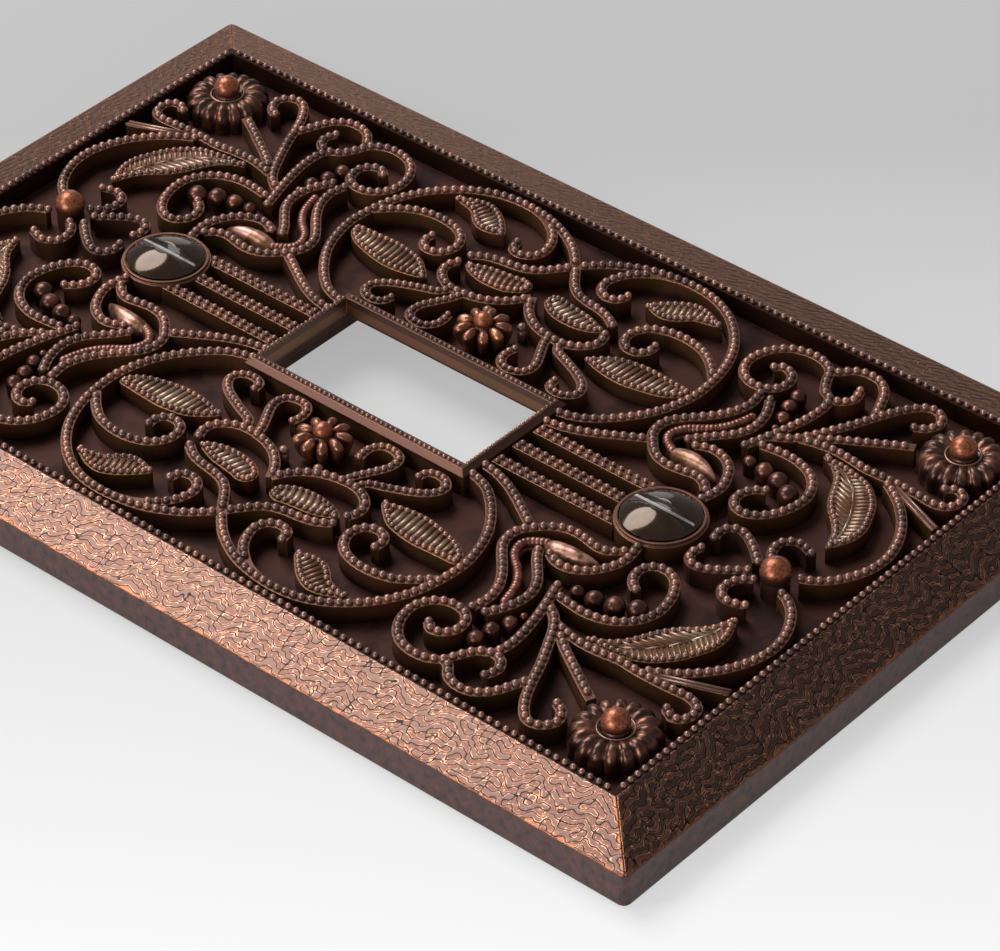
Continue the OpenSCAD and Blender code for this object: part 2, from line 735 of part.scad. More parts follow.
frame();
back_panel();
toggle_bezel();
upper_screw();
lower_screw();
upper_collar();
lower_collar();
upper_ribs();
lower_ribs();
upper_finial();
lower_finial();
left_flower();
right_flower();
upper_left_ring_scroll();
upper_right_ring_scroll();
lower_left_ring_scroll();
lower_right_ring_scroll();
upper_left_ring_leaves();
upper_right_ring_leaves();
lower_left_ring_leaves();
lower_right_ring_leaves();
upper_left_corner_spray();
upper_right_corner_spray();
lower_left_corner_spray();
lower_right_corner_spray();
upper_left_acanthus();
upper_right_acanthus();
lower_left_acanthus();
lower_right_acanthus();
upper_left_rosette();
upper_right_rosette();
lower_left_rosette();
lower_right_rosette();
upper_left_ribbon();
upper_right_ribbon();
lower_left_ribbon();
lower_right_ribbon();
upper_left_ribbon_drop();
upper_right_ribbon_drop();
lower_left_ribbon_drop();
lower_right_ribbon_drop();
upper_left_grape_scroll();
upper_right_grape_scroll();
lower_left_grape_scroll();
lower_right_grape_scroll();
upper_left_grapes();
upper_right_grapes();
lower_left_grapes();
lower_right_grapes();
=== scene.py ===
import math

import bmesh
import bpy
from mathutils import Matrix, Vector, noise


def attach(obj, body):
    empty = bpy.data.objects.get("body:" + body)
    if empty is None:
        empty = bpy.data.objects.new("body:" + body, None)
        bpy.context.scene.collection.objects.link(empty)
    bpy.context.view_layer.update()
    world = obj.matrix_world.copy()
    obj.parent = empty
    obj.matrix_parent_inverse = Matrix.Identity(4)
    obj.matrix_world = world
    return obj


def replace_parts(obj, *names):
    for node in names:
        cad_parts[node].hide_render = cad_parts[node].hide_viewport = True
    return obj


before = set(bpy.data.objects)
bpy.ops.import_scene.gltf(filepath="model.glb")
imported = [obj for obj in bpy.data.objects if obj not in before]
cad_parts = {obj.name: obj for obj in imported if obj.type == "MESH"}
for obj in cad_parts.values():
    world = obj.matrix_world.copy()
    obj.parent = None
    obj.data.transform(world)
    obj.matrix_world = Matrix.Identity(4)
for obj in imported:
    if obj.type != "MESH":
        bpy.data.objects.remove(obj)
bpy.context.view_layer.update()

mm = 0.001
screwY = 30.15  # mm from the plate's middle
rosettePlace = (24.1, 45.1)
quarters = {"upper_right": (1, 1), "upper_left": (-1, 1), "lower_right": (1, -1), "lower_left": (-1, -1)}
print("frame loaded,", len(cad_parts), "nodes")


def linear(hexColour):
    channels = [int(hexColour[i:i + 2], 16) / 255 for i in (1, 3, 5)]
    return [c / 12.92 if c <= 0.04045 else ((c + 0.055) / 1.055) ** 2.4 for c in channels] + [1]


# adds a node, sets its settings, and gives each input a link, a value or a hex colour;
# a list fills the inputs in their own order
def addNode(tree, kind, settings=None, inputs=None):
    node = tree.nodes.new("ShaderNode" + kind)
    for name, value in (settings or {}).items():
        setattr(node, name, value)
    named = dict(enumerate(inputs)) if isinstance(inputs, list) else inputs or {}
    for socket, value in named.items():
        if isinstance(value, bpy.types.NodeSocket):
            tree.links.new(value, node.inputs[socket])
        else:
            node.inputs[socket].default_value = linear(value) if isinstance(value, str) else value
    return node


inColour = {"data_type": "RGBA"}
smooth = {"interpolation_type": "SMOOTHSTEP"}


def startMaterial(name):
    material = bpy.data.materials.new(name)
    material.use_nodes = True
    material.node_tree.nodes.clear()
    place = addNode(material.node_tree, "TexCoord").outputs["Object"]
    return material, material.node_tree, place


# the shader that ends a material: plain numbers for the metal and its lacquer, and what the inputs add
def endMaterial(tree, look, inputs):
    metal = {"Metallic": look["metallic"], "Coat Weight": look["coat"], "Coat Roughness": look["coatRough"]}
    shader = addNode(tree, "BsdfPrincipled", {}, {**metal, **inputs})
    addNode(tree, "OutputMaterial", {}, {"Surface": shader.outputs["BSDF"]})


# Materials: heights and pattern sizes are in mm, and a pair of shares says where a patch starts and is full

castingLook = {
    "name": "antiqueCopperCasting", "recess": "#452820", "soot": "#2b1814", "wall": "#7a5038",
    "olive": "#66502a", "top": "#6e4b3e", "copper": "#b08060",
    "rise": (3.1 * mm, 4.4 * mm), "crest": (4.9 * mm, 4.98 * mm),
    "patch": 4 * mm, "stain": (0.45, 0.65), "blotch": (0.5, 0.36),
    "edge": 0.12 * mm, "edgeTurn": (0.99, 0.8), "worn": 0.7,
    "grain": 0.22 * mm, "bump": 0.02 * mm, "bumpShare": 0.5,
    "rough": (0.65, 0.38), "metallic": 0.8, "coat": 0.05, "coatRough": 0.35,
}
# the bezel is the same casting; its darker tops and edges are painted shade
shadedBezelLook = {**castingLook, "name": "shadedCopperBezel", "top": "#573a30", "copper": "#8e624c"}


# Zinc die casting, copper plated, darkened and wiped back under a clear lacquer:
# a dark floor, brown walls with olive stains, and paler metal along the edges.
def antiqueCopperCasting(look):
    material, tree, place = startMaterial(look["name"])
    height = addNode(tree, "SeparateXYZ", {}, [place]).outputs["Z"]
    rise = addNode(tree, "MapRange", smooth, [height, *look["rise"]]).outputs[0]
    crest = addNode(tree, "MapRange", {}, [height, *look["crest"]]).outputs[0]
    patches = addNode(tree, "TexNoise", {},
                      {"Vector": place, "Scale": 1 / look["patch"], "Detail": 3}).outputs["Fac"]
    stain = addNode(tree, "MapRange", {}, [patches, *look["stain"]]).outputs[0]
    blotch = addNode(tree, "MapRange", {}, [patches, *look["blotch"]]).outputs[0]
    walls = addNode(tree, "Mix", inColour, {0: stain, 6: look["wall"], 7: look["olive"]}).outputs[2]
    floors = addNode(tree, "Mix", inColour, {0: blotch, 6: look["recess"], 7: look["soot"]}).outputs[2]
    sides = addNode(tree, "Mix", inColour, {0: rise, 6: floors, 7: walls}).outputs[2]
    tops = addNode(tree, "Mix", inColour, {0: crest, 6: sides, 7: look["top"]}).outputs[2]
    soft = addNode(tree, "Bevel", {"samples": 4}, {"Radius": look["edge"]}).outputs["Normal"]
    sharp = addNode(tree, "NewGeometry").outputs["Normal"]
    turn = addNode(tree, "VectorMath", {"operation": "DOT_PRODUCT"}, [soft, sharp]).outputs["Value"]
    worn = addNode(tree, "MapRange", {}, [turn, *look["edgeTurn"], 0, look["worn"]]).outputs[0]
    colour = addNode(tree, "Mix", inColour, {0: worn, 6: tops, 7: look["copper"]}).outputs[2]
    rough = addNode(tree, "MapRange", {}, [rise, 0, 1, *look["rough"]]).outputs[0]
    grain = addNode(tree, "TexNoise", {},
                    {"Vector": place, "Scale": 1 / look["grain"], "Detail": 2}).outputs["Fac"]
    bump = addNode(tree, "Bump", {}, {"Strength": look["bumpShare"], "Distance": look["bump"],
                                      "Height": grain, "Normal": soft}).outputs["Normal"]
    endMaterial(tree, look, {"Base Color": colour, "Roughness": rough, "Normal": bump})
    return material


beadLook = {
    "brown": "#8a665a", "copper": "#a67560", "dark": "#5f453d",
    "patch": 5 * mm, "warm": (0.48, 0.7), "dull": (0.5, 0.32),
    "grain": 0.2 * mm, "rough": (0.24, 0.42), "metallic": 0.55, "coat": 0.4, "coatRough": 0.2,
}


# The same plating on beads, rubbed by the polishing wheel: small glints on pinkish brown.
def wipedCopperBeads(look):
    material, tree, place = startMaterial("wipedCopperBeads")
    patches = addNode(tree, "TexNoise", {},
                      {"Vector": place, "Scale": 1 / look["patch"], "Detail": 2}).outputs["Fac"]
    warm = addNode(tree, "MapRange", {}, [patches, *look["warm"]]).outputs[0]
    dull = addNode(tree, "MapRange", {}, [patches, *look["dull"]]).outputs[0]
    brown = addNode(tree, "Mix", inColour, {0: warm, 6: look["brown"], 7: look["copper"]}).outputs[2]
    colour = addNode(tree, "Mix", inColour, {0: dull, 6: brown, 7: look["dark"]}).outputs[2]
    grain = addNode(tree, "TexNoise", {}, {"Vector": place, "Scale": 1 / look["grain"]}).outputs["Fac"]
    rough = addNode(tree, "MapRange", {}, [grain, 0, 1, *look["rough"]]).outputs[0]
    endMaterial(tree, look, {"Base Color": colour, "Roughness": rough})
    return material


frameLook = {
    "wall": "#4c3532", "red": "#653a31", "dark": "#302827", "ledge": "#2c1c17", "inner": "#4b3024",
    "outsideX": 35.5 * mm, "outsideY": 55.5 * mm, "ledgeZ": 5.15 * mm, "edge": 0.25 * mm,
    "mottle": 0.9 * mm, "mottleRough": 0.6, "reddish": (0.52, 0.68), "darkened": (0.48, 0.34),
    "rough": 0.5, "metallic": (1, 0.3), "coat": 0.05, "coatRough": 0.4,
}


# The frame's upright sides, darkened and hardly wiped: dull purple-brown with reddish and dark mottling.
def mottledCopperFrame(look):
    material, tree, place = startMaterial("mottledCopperFrame")
    axes = addNode(tree, "SeparateXYZ", {}, [place]).outputs
    farX = addNode(tree, "Math", {"operation": "ABSOLUTE"}, [axes["X"]]).outputs[0]
    farY = addNode(tree, "Math", {"operation": "ABSOLUTE"}, [axes["Y"]]).outputs[0]
    onSide = addNode(tree, "Math", {"operation": "GREATER_THAN"}, [farX, look["outsideX"]]).outputs[0]
    onEnd = addNode(tree, "Math", {"operation": "GREATER_THAN"}, [farY, look["outsideY"]]).outputs[0]
    outside = addNode(tree, "Math", {"operation": "MAXIMUM"}, [onSide, onEnd]).outputs[0]
    mottle = addNode(tree, "TexNoise", {}, {"Vector": place, "Scale": 1 / look["mottle"], "Detail": 4,
                                            "Roughness": look["mottleRough"]}).outputs["Fac"]
    red = addNode(tree, "MapRange", {}, [mottle, *look["reddish"]]).outputs[0]
    dark = addNode(tree, "MapRange", {}, [mottle, *look["darkened"]]).outputs[0]
    wall = addNode(tree, "Mix", inColour, {0: red, 6: look["wall"], 7: look["red"]}).outputs[2]
    wall = addNode(tree, "Mix", inColour, {0: dark, 6: wall, 7: look["dark"]}).outputs[2]
    onLedge = addNode(tree, "Math", {"operation": "GREATER_THAN"},
                      [axes["Z"], look["ledgeZ"]]).outputs[0]
    inside = addNode(tree, "Mix", inColour, {0: onLedge, 6: look["inner"], 7: look["ledge"]}).outputs[2]
    colour = addNode(tree, "Mix", inColour, {0: outside, 6: inside, 7: wall}).outputs[2]
    metallic = addNode(tree, "MapRange", {}, [outside, 0, 1, *look["metallic"]]).outputs[0]
    soft = addNode(tree, "Bevel", {"samples": 4}, {"Radius": look["edge"]}).outputs["Normal"]
    endMaterial(tree, look, {"Base Color": colour, "Metallic": metallic,
                             "Roughness": look["rough"], "Normal": soft})
    return material


reliefLook = {
    # line: painted shade along the islands' edges; glint: the colour of painted highlights
    "island": "#553e35", "ground": "#66463a", "line": "#160a06", "wear": "#a06444", "glint": "#c98f6e",
    "slant": "#ffdccc", "edge": (-0.03, 0.03), "shadeLineFade": (0.065, 0.025),
    "wornGlintAt": 0.1, "wornGlintHalf": 0.06, "patch": 0.55 * mm, "rubbed": (0.48, 0.66),
    "speck": 0.3 * mm, "bright": (0.62, 0.72), "step": 0.03 * mm,
    "grain": 0.12 * mm, "bump": 0.01 * mm, "bumpShare": 0.3,
    "rough": (0.42, 0.3), "metallic": 1, "coat": 0.28, "coatRough": 0.3,
}


# The bevel's worm-like islands: lacquered brown tops with copper between them, outlined in black that is
# painted shade at the islands' edges; painted glints on the copper, worn edges with painted highlight beside
# the outlines, and bright wear at the rim and at the mitres where hands wear them.
# The relief attribute holds 0.5 plus the mm to an island's edge, a fade at the borders, and the wear.
def darkenedCopperRelief(look):
    material, tree, place = startMaterial("darkenedCopperRelief")
    shares = addNode(tree, "Attribute", {"attribute_name": "relief"}).outputs["Color"]
    packed, inside, wear = addNode(tree, "SeparateColor", {}, [shares]).outputs
    toEdge = addNode(tree, "Math", {"operation": "SUBTRACT"}, [packed, 0.5]).outputs[0]
    offEdge = addNode(tree, "Math", {"operation": "ABSOLUTE"}, [toEdge]).outputs[0]
    island = addNode(tree, "MapRange", smooth, [toEdge, *look["edge"]]).outputs[0]
    # painted shade: a black line along each island's edge
    line = addNode(tree, "MapRange", smooth, [offEdge, *look["shadeLineFade"]]).outputs[0]
    line = addNode(tree, "Math", {"operation": "MULTIPLY"}, [line, inside]).outputs[0]
    # painted glints: bright specks on the copper between the islands
    specks = addNode(tree, "TexNoise", {}, {"Vector": place, "Scale": 1 / look["speck"]}).outputs["Fac"]
    specks = addNode(tree, "MapRange", {}, [specks, *look["bright"]]).outputs[0]
    ground = addNode(tree, "Mix", inColour, {0: specks, 6: look["ground"], 7: look["glint"]}).outputs[2]
    colour = addNode(tree, "Mix", inColour, {0: island, 6: ground, 7: look["island"]}).outputs[2]
    # worn edges with painted highlight: a bright band just off each outline, in patches
    offWornGlint = addNode(tree, "Math", {"operation": "SUBTRACT"}, [offEdge, look["wornGlintAt"]]).outputs[0]
    offWornGlint = addNode(tree, "Math", {"operation": "ABSOLUTE"}, [offWornGlint]).outputs[0]
    wornGlint = addNode(tree, "MapRange", smooth, [offWornGlint, look["wornGlintHalf"], 0]).outputs[0]
    patches = addNode(tree, "TexNoise", {}, {"Vector": place, "Scale": 1 / look["patch"]}).outputs["Fac"]
    patches = addNode(tree, "MapRange", {}, [patches, *look["rubbed"]]).outputs[0]
    wornGlint = addNode(tree, "Math", {"operation": "MULTIPLY"}, [wornGlint, patches]).outputs[0]
    colour = addNode(tree, "Mix", inColour, {0: wornGlint, 6: colour, 7: look["glint"]}).outputs[2]
    colour = addNode(tree, "Mix", inColour, {0: wear, 6: colour, 7: look["wear"]}).outputs[2]
    colour = addNode(tree, "Mix", inColour, {0: line, 6: colour, 7: look["line"]}).outputs[2]
    rough = addNode(tree, "MapRange", {}, [island, 0, 1, *look["rough"]]).outputs[0]
    step = addNode(tree, "Math", {"operation": "MULTIPLY"}, [island, inside]).outputs[0]
    edges = addNode(tree, "Bump", {}, {"Distance": look["step"], "Height": step}).outputs["Normal"]
    grain = addNode(tree, "TexNoise", {},
                    {"Vector": place, "Scale": 1 / look["grain"], "Detail": 2}).outputs["Fac"]
    bump = addNode(tree, "Bump", {}, {"Strength": look["bumpShare"], "Distance": look["bump"],
                                      "Height": grain, "Normal": edges}).outputs["Normal"]
    endMaterial(tree, look, {"Base Color": colour, "Roughness": rough, "Normal": bump,
                             "Specular Tint": look["slant"]})
    return material


copperLook = {
    "copper": "#a55e3b", "dark": "#6b3a27", "base": "#54362a", "crown": (5.7 * mm, 6.3 * mm),
    "fleck": 0.22 * mm, "pits": (0.55, 0.38),
    "rough": (0.5, 0.3), "metallic": 0.7, "coat": 0.3, "coatRough": 0.25,
}


# Bare copper where the finish is rubbed through: orange crowns with dark pits, brown towards the foot,
# which is also painted shade on the lower halves of the balls.
def rubbedCopper(look):
    material, tree, place = startMaterial("rubbedCopper")
    height = addNode(tree, "SeparateXYZ", {}, [place]).outputs["Z"]
    crown = addNode(tree, "MapRange", smooth, [height, *look["crown"]]).outputs[0]
    flecks = addNode(tree, "TexNoise", {},
                     {"Vector": place, "Scale": 1 / look["fleck"], "Detail": 3}).outputs["Fac"]
    pits = addNode(tree, "MapRange", {}, [flecks, *look["pits"]]).outputs[0]
    bare = addNode(tree, "Mix", inColour, {0: pits, 6: look["copper"], 7: look["dark"]}).outputs[2]
    # below the crown: the brown foot, also painted shade on the lower half of each ball
    colour = addNode(tree, "Mix", inColour, {0: crown, 6: look["base"], 7: bare}).outputs[2]
    rough = addNode(tree, "MapRange", {}, [flecks, 0, 1, *look["rough"]]).outputs[0]
    endMaterial(tree, look, {"Base Color": colour, "Roughness": rough})
    return material


bronzeLook = {"warm": (0.46, 0.7), "rough": (0.22, 0.42), "metallic": 0.8, "coat": 0.15, "coatRough": 0.2}
bronzeKinds = {
    "rosettes": {"name": "lacqueredBronzeRosettes", "dark": "#4a3229", "copper": "#8a5843",
                 "patch": 1.1 * mm},
    "grapes": {"name": "lacqueredBronzeGrapes", "dark": "#4d3129", "copper": "#875440",
               "patch": 1.2 * mm},
    "flowers": {"name": "lacqueredCopperFlowers", "dark": "#7a5040", "copper": "#bb7f5c",
                "patch": 1.2 * mm},
}


# Dark lacquered bronze tone on round forms: soft long highlights, a little copper breaking through.
def lacqueredBronze(look):
    material, tree, place = startMaterial(look["name"])
    patches = addNode(tree, "TexNoise", {},
                      {"Vector": place, "Scale": 1 / look["patch"], "Detail": 4}).outputs["Fac"]
    warm = addNode(tree, "MapRange", {}, [patches, *look["warm"]]).outputs[0]
    colour = addNode(tree, "Mix", inColour, {0: warm, 6: look["dark"], 7: look["copper"]}).outputs[2]
    rough = addNode(tree, "MapRange", {}, [patches, 0, 1, *look["rough"]]).outputs[0]
    endMaterial(tree, look, {"Base Color": colour, "Roughness": rough})
    return material


hatchLook = {
    "pale": "#b39a86", "brown": "#74503f", "patch": 3.5 * mm, "dull": (0.4, 0.6),
    "rough": (0.3, 0.45), "metallic": 0.65, "coat": 0.3, "coatRough": 0.2,
}


# Wiped ridges of the leaves: pale champagne copper, browner where the wiping missed.
def wipedPaleCopper(look):
    material, tree, place = startMaterial("wipedPaleCopper")
    patches = addNode(tree, "TexNoise", {},
                      {"Vector": place, "Scale": 1 / look["patch"], "Detail": 3}).outputs["Fac"]
    dull = addNode(tree, "MapRange", {}, [patches, *look["dull"]]).outputs[0]
    colour = addNode(tree, "Mix", inColour, {0: dull, 6: look["pale"], 7: look["brown"]}).outputs[2]
    rough = addNode(tree, "MapRange", {}, [patches, 0, 1, *look["rough"]]).outputs[0]
    endMaterial(tree, look, {"Base Color": colour, "Roughness": rough})
    return material


rosyLook = {"rusty": (0.42, 0.62), "rough": 0.38, "metallic": 0.75, "coat": 0.3, "coatRough": 0.15}
rosyKinds = {
    "drop": {"name": "polishedRosyCopperDrop", "pink": "#bb8a7a", "rust": "#6f4a28", "patch": 1.1 * mm},
    "rope": {"name": "polishedRosyCopperRope", "pink": "#8f6052", "rust": "#6a3c2c", "patch": 0.8 * mm},
}


# Polished copper of the ribbon, tarnished in rosy and rusty clouds: wet-looking highlights.
def polishedRosyCopper(look):
    material, tree, place = startMaterial(look["name"])
    patches = addNode(tree, "TexNoise", {},
                      {"Vector": place, "Scale": 1 / look["patch"], "Detail": 3}).outputs["Fac"]
    rusty = addNode(tree, "MapRange", {}, [patches, *look["rusty"]]).outputs[0]
    colour = addNode(tree, "Mix", inColour, {0: rusty, 6: look["pink"], 7: look["rust"]}).outputs[2]
    endMaterial(tree, look, {"Base Color": colour, "Roughness": look["rough"]})
    return material


# cut: the colour of a painted highlight on one side of the slot's floor
steelLook = {
    "black": "#2a1a0f", "sheen": "#44301c", "sawn": "#1c1410", "cut": "#b8aca6",
    "patch": 0.8 * mm, "edge": 0.1 * mm,
    "slotHalf": 0.556 * mm, "slotZ": 5.7 * mm, "litStripFrom": 0.28 * mm, "footZ": 5.83 * mm,
    "rough": (0.12, 0.45), "metallic": 0.7, "coat": 0.45, "coatRough": 0.05,
}


# Polished steel, chemically blackened: brown-black with clean mirror highlights, a dull sawn slot, and
# a painted highlight: a bright line along one side of the slot's foot, where light falls on its floor.
def blackenedSteel(look):
    material, tree, place = startMaterial("blackenedSteel")
    patches = addNode(tree, "TexNoise", {},
                      {"Vector": place, "Scale": 1 / look["patch"], "Detail": 3}).outputs["Fac"]
    colour = addNode(tree, "Mix", inColour, {0: patches, 6: look["black"], 7: look["sheen"]}).outputs[2]
    axes = addNode(tree, "SeparateXYZ", {}, [place]).outputs
    aside = addNode(tree, "Math", {"operation": "ABSOLUTE"}, [axes["X"]]).outputs[0]
    narrow = addNode(tree, "Math", {"operation": "LESS_THAN"}, [aside, look["slotHalf"]]).outputs[0]
    high = addNode(tree, "Math", {"operation": "GREATER_THAN"}, [axes["Z"], look["slotZ"]]).outputs[0]
    slot = addNode(tree, "Math", {"operation": "MULTIPLY"}, [narrow, high]).outputs[0]
    # painted highlight: a bright strip along one side of the slot's floor, where the light falls
    low = addNode(tree, "Math", {"operation": "LESS_THAN"}, [axes["Z"], look["footZ"]]).outputs[0]
    near = addNode(tree, "Math", {"operation": "GREATER_THAN"}, [axes["X"], look["litStripFrom"]]).outputs[0]
    foot = addNode(tree, "Math", {"operation": "MULTIPLY"}, [low, near]).outputs[0]
    inside = addNode(tree, "Mix", inColour, {0: foot, 6: look["sawn"], 7: look["cut"]}).outputs[2]
    colour = addNode(tree, "Mix", inColour, {0: slot, 6: colour, 7: inside}).outputs[2]
    rough = addNode(tree, "MapRange", {}, [slot, 0, 1, *look["rough"]]).outputs[0]
    soft = addNode(tree, "Bevel", {"samples": 4}, {"Radius": look["edge"]}).outputs["Normal"]
    endMaterial(tree, look, {"Base Color": colour, "Roughness": rough, "Normal": soft})
    return material


casting = antiqueCopperCasting(castingLook)
bezel = antiqueCopperCasting(shadedBezelLook)
beads = wipedCopperBeads(beadLook)
border = mottledCopperFrame(frameLook)
relief = darkenedCopperRelief(reliefLook)
copper = rubbedCopper(copperLook)
bronze = {kind: lacqueredBronze({**bronzeLook, **look}) for kind, look in bronzeKinds.items()}
hatch = wipedPaleCopper(hatchLook)
rosy = {kind: polishedRosyCopper({**rosyLook, **look}) for kind, look in rosyKinds.items()}
steel = blackenedSteel(steelLook)

# by the end of a node's name
finishes = {"frame": border, "toggle_bezel": bezel, "_screw": steel, "_finial": copper,
            "_flower": bronze["flowers"], "_rosette": bronze["rosettes"], "_grapes": bronze["grapes"],
            "_ribbon_drop": rosy["drop"]}
for name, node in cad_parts.items():
    finish = next((finishes[end] for end in finishes if name.endswith(end)), casting)
    for slot in node.material_slots:
        slot.material = finish
print("materials on the model's nodes")


# Shared ways of making pieces

routeSteps = 6  # from each point of a route to the next


# a smooth curve through the points, the same as the walls follow in the model
def smoothRoute(points, closed=False):
    count = len(points)
    line = []
    for i in range(count if closed else count - 1):
        near = [i + k for k in (-1, 0, 1, 2)]
        near = [k % count if closed else max(0, min(count - 1, k)) for k in near]
        a, b, c, d = [Vector(points[k]) for k in near]
        for t in [step / routeSteps for step in range(routeSteps)]:
            line.append((2 * b + (c - a) * t + (2 * a - 5 * b + 4 * c - d) * t ** 2
                         + (3 * b - a - 3 * c + d) * t ** 3) / 2)
    line.append(Vector(points[0 if closed else -1]))
    return line


roundOff = 1e-9  # so that the last place on a line isn't lost


# evenly spaced places on a line, each with the line's direction there
def evenPlaces(line, pitch):
    lengths = [(b - a).length for a, b in zip(line, line[1:])]
    count = max(1, round(sum(lengths) / pitch))
    gap = sum(lengths) / count
    places, done, nextAt = [], 0, 0
    for a, b, length in zip(line, line[1:], lengths):
        while nextAt <= done + length + roundOff and length > 0:
            places.append((a.lerp(b, (nextAt - done) / length), (b - a).normalized()))
            nextAt += gap
        done += length
    return places


# stamps one small ball at every place
def addBeads(bm, places, radius):
    ball = bmesh.new()
    bmesh.ops.create_uvsphere(ball, u_segments=8, v_segments=6, radius=radius * mm)
    stamp = bpy.data.meshes.new("stamp")
    ball.to_mesh(stamp)
    ball.free()
    for place in places:
        move = Matrix.Translation(Vector(place) * mm)
        stamp.transform(move)
        bm.from_mesh(stamp)
        stamp.transform(move.inverted())
    bpy.data.meshes.remove(stamp)


# a round bar between two places in plan
def addBar(bm, start, end, height, radius):
    along = Vector((end[0] - start[0], end[1] - start[1], 0))
    middle = Vector(((start[0] + end[0]) / 2, (start[1] + end[1]) / 2, height))
    turn = along.to_track_quat("Z", "Y").to_matrix().to_4x4()
    bmesh.ops.create_cone(bm, cap_ends=True, segments=8, radius1=radius * mm, radius2=radius * mm,
                          depth=along.length * mm, matrix=Matrix.Translation(middle * mm) @ turn)


neck = {"floor": 3.1, "share": 0.95}


# a ball on a round neck that comes up from the floor
def addBall(bm, x, y, height, radius, segments):
    bmesh.ops.create_uvsphere(bm, u_segments=segments[0], v_segments=segments[1], radius=radius * mm,
                              matrix=Matrix.Translation(Vector((x, y, height)) * mm))
    middle = Matrix.Translation(Vector((x, y, (neck["floor"] + height) / 2)) * mm)
    neckRadius = neck["share"] * radius * mm
    bmesh.ops.create_cone(bm, cap_ends=True, segments=24, radius1=neckRadius, radius2=neckRadius,
                          depth=(height - neck["floor"]) * mm, matrix=middle)


# makes a named piece of a bmesh, with its finish and the body that it rides on
def finishPiece(name, bm, material, body="plate"):
    mesh = bpy.data.meshes.new(name)
    bm.to_mesh(mesh)
    bm.free()
    mesh.polygons.foreach_set("use_smooth", [True] * len(mesh.polygons))
    mesh.materials.append(material)
    piece = bpy.data.objects.new(name, mesh)
    bpy.context.scene.collection.objects.link(piece)
    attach(piece, body)
    return piece


# 0 up to low, 1 from high on, and a soft rise between
def smoothStep(low, high, value):
    share = max(0, min(1, (value - low) / (high - low)))
    return share * share * (3 - 2 * share)


# Bevel: worm-like islands on its four mitred sides

bevel = {
    "run": 5.5, "low": 3.2, "high": 5.2, "halfWidth": 36, "halfLength": 56,
    "cornerRadius": 0.7, "rim": 0.02, "skirt": 0.1, "cellAlong": 0.14, "cellAcross": 0.12,
    "ground": 0.015, "island": 0.016, "islandEdge": (-0.04, 0.04), "fade": 0.2, "mitreFade": 2,
}
worms = {
    "waves": 16, "pitch": 1.05, "pitchSpread": 0.5, "pitchStep": 0.414, "turn": 55, "turnStep": 0.618,
    "phaseStep": 0.732, "seedStep": 7.3, "leastSlope": 7, "swell": 2.2, "swellSize": 1.3,
}
rubbing = {
    "reach": 0.6, "least": 0.05, "ragged": 1.2, "patch": 0.7, "seed": 90, "atRim": 1.4, "onIslands": 0.5,
}


# many waves of about the same pitch, which run more or less across the bevel
def wormWaves(seed):
    waves = []
    for k in range(worms["waves"]):
        angle = math.radians(worms["turn"] * (2 * (worms["turnStep"] * k % 1) - 1))
        pitch = worms["pitch"] * (1 + worms["pitchSpread"] * ((worms["pitchStep"] * k % 1) - 0.5))
        shift = math.tau * (worms["phaseStep"] * k + seed) ** 2
        waves.append((math.tau * math.sin(angle) / pitch, math.tau * math.cos(angle) / pitch, shift))
    return waves


# the waves add up to worm-like islands: about how far the nearest edge is in mm, over 0 on an island
def toIslandEdge(waves, along, across):
    total = worms["swell"] * noise.noise(Vector((along, across, waves[0][2])) / worms["swellSize"])
    slopeAlong, slopeAcross = 0, 0
    for turnAlong, turnAcross, shift in waves:
        phase = turnAlong * along + turnAcross * across + shift
        total += math.cos(phase)
        slopeAlong -= turnAlong * math.sin(phase)
        slopeAcross -= turnAcross * math.sin(phase)
    return total / max(worms["leastSlope"], math.hypot(slopeAlong, slopeAcross))


# how much of the finish is rubbed off near the rim and the mitres, with a ragged edge
def rubbedShare(along, toRim, toMitre, island):
    spread = 1 + rubbing["ragged"] * noise.noise(Vector((along, toRim, rubbing["seed"])) / rubbing["patch"])
    reach = max(rubbing["least"], rubbing["reach"] * spread)
    share = 1 - smoothStep(0, reach, min(rubbing["atRim"] * toRim, toMitre))
    return share * (1 - rubbing["onIslands"] * island)


# pulls a place that lies past the plate's rounded corner back onto it
def roundCorner(along, out, halfLong, halfShort):
    radius = bevel["cornerRadius"] + bevel["rim"]
    corner = Vector((abs(along) - halfLong + radius, out - halfShort + radius))
    if min(corner) > 0 and corner.length > bevel["cornerRadius"]:
        corner *= bevel["cornerRadius"] / corner.length
        along = math.copysign(corner.x + halfLong - radius, along)
        out = corner.y + halfShort - radius
    return along, out


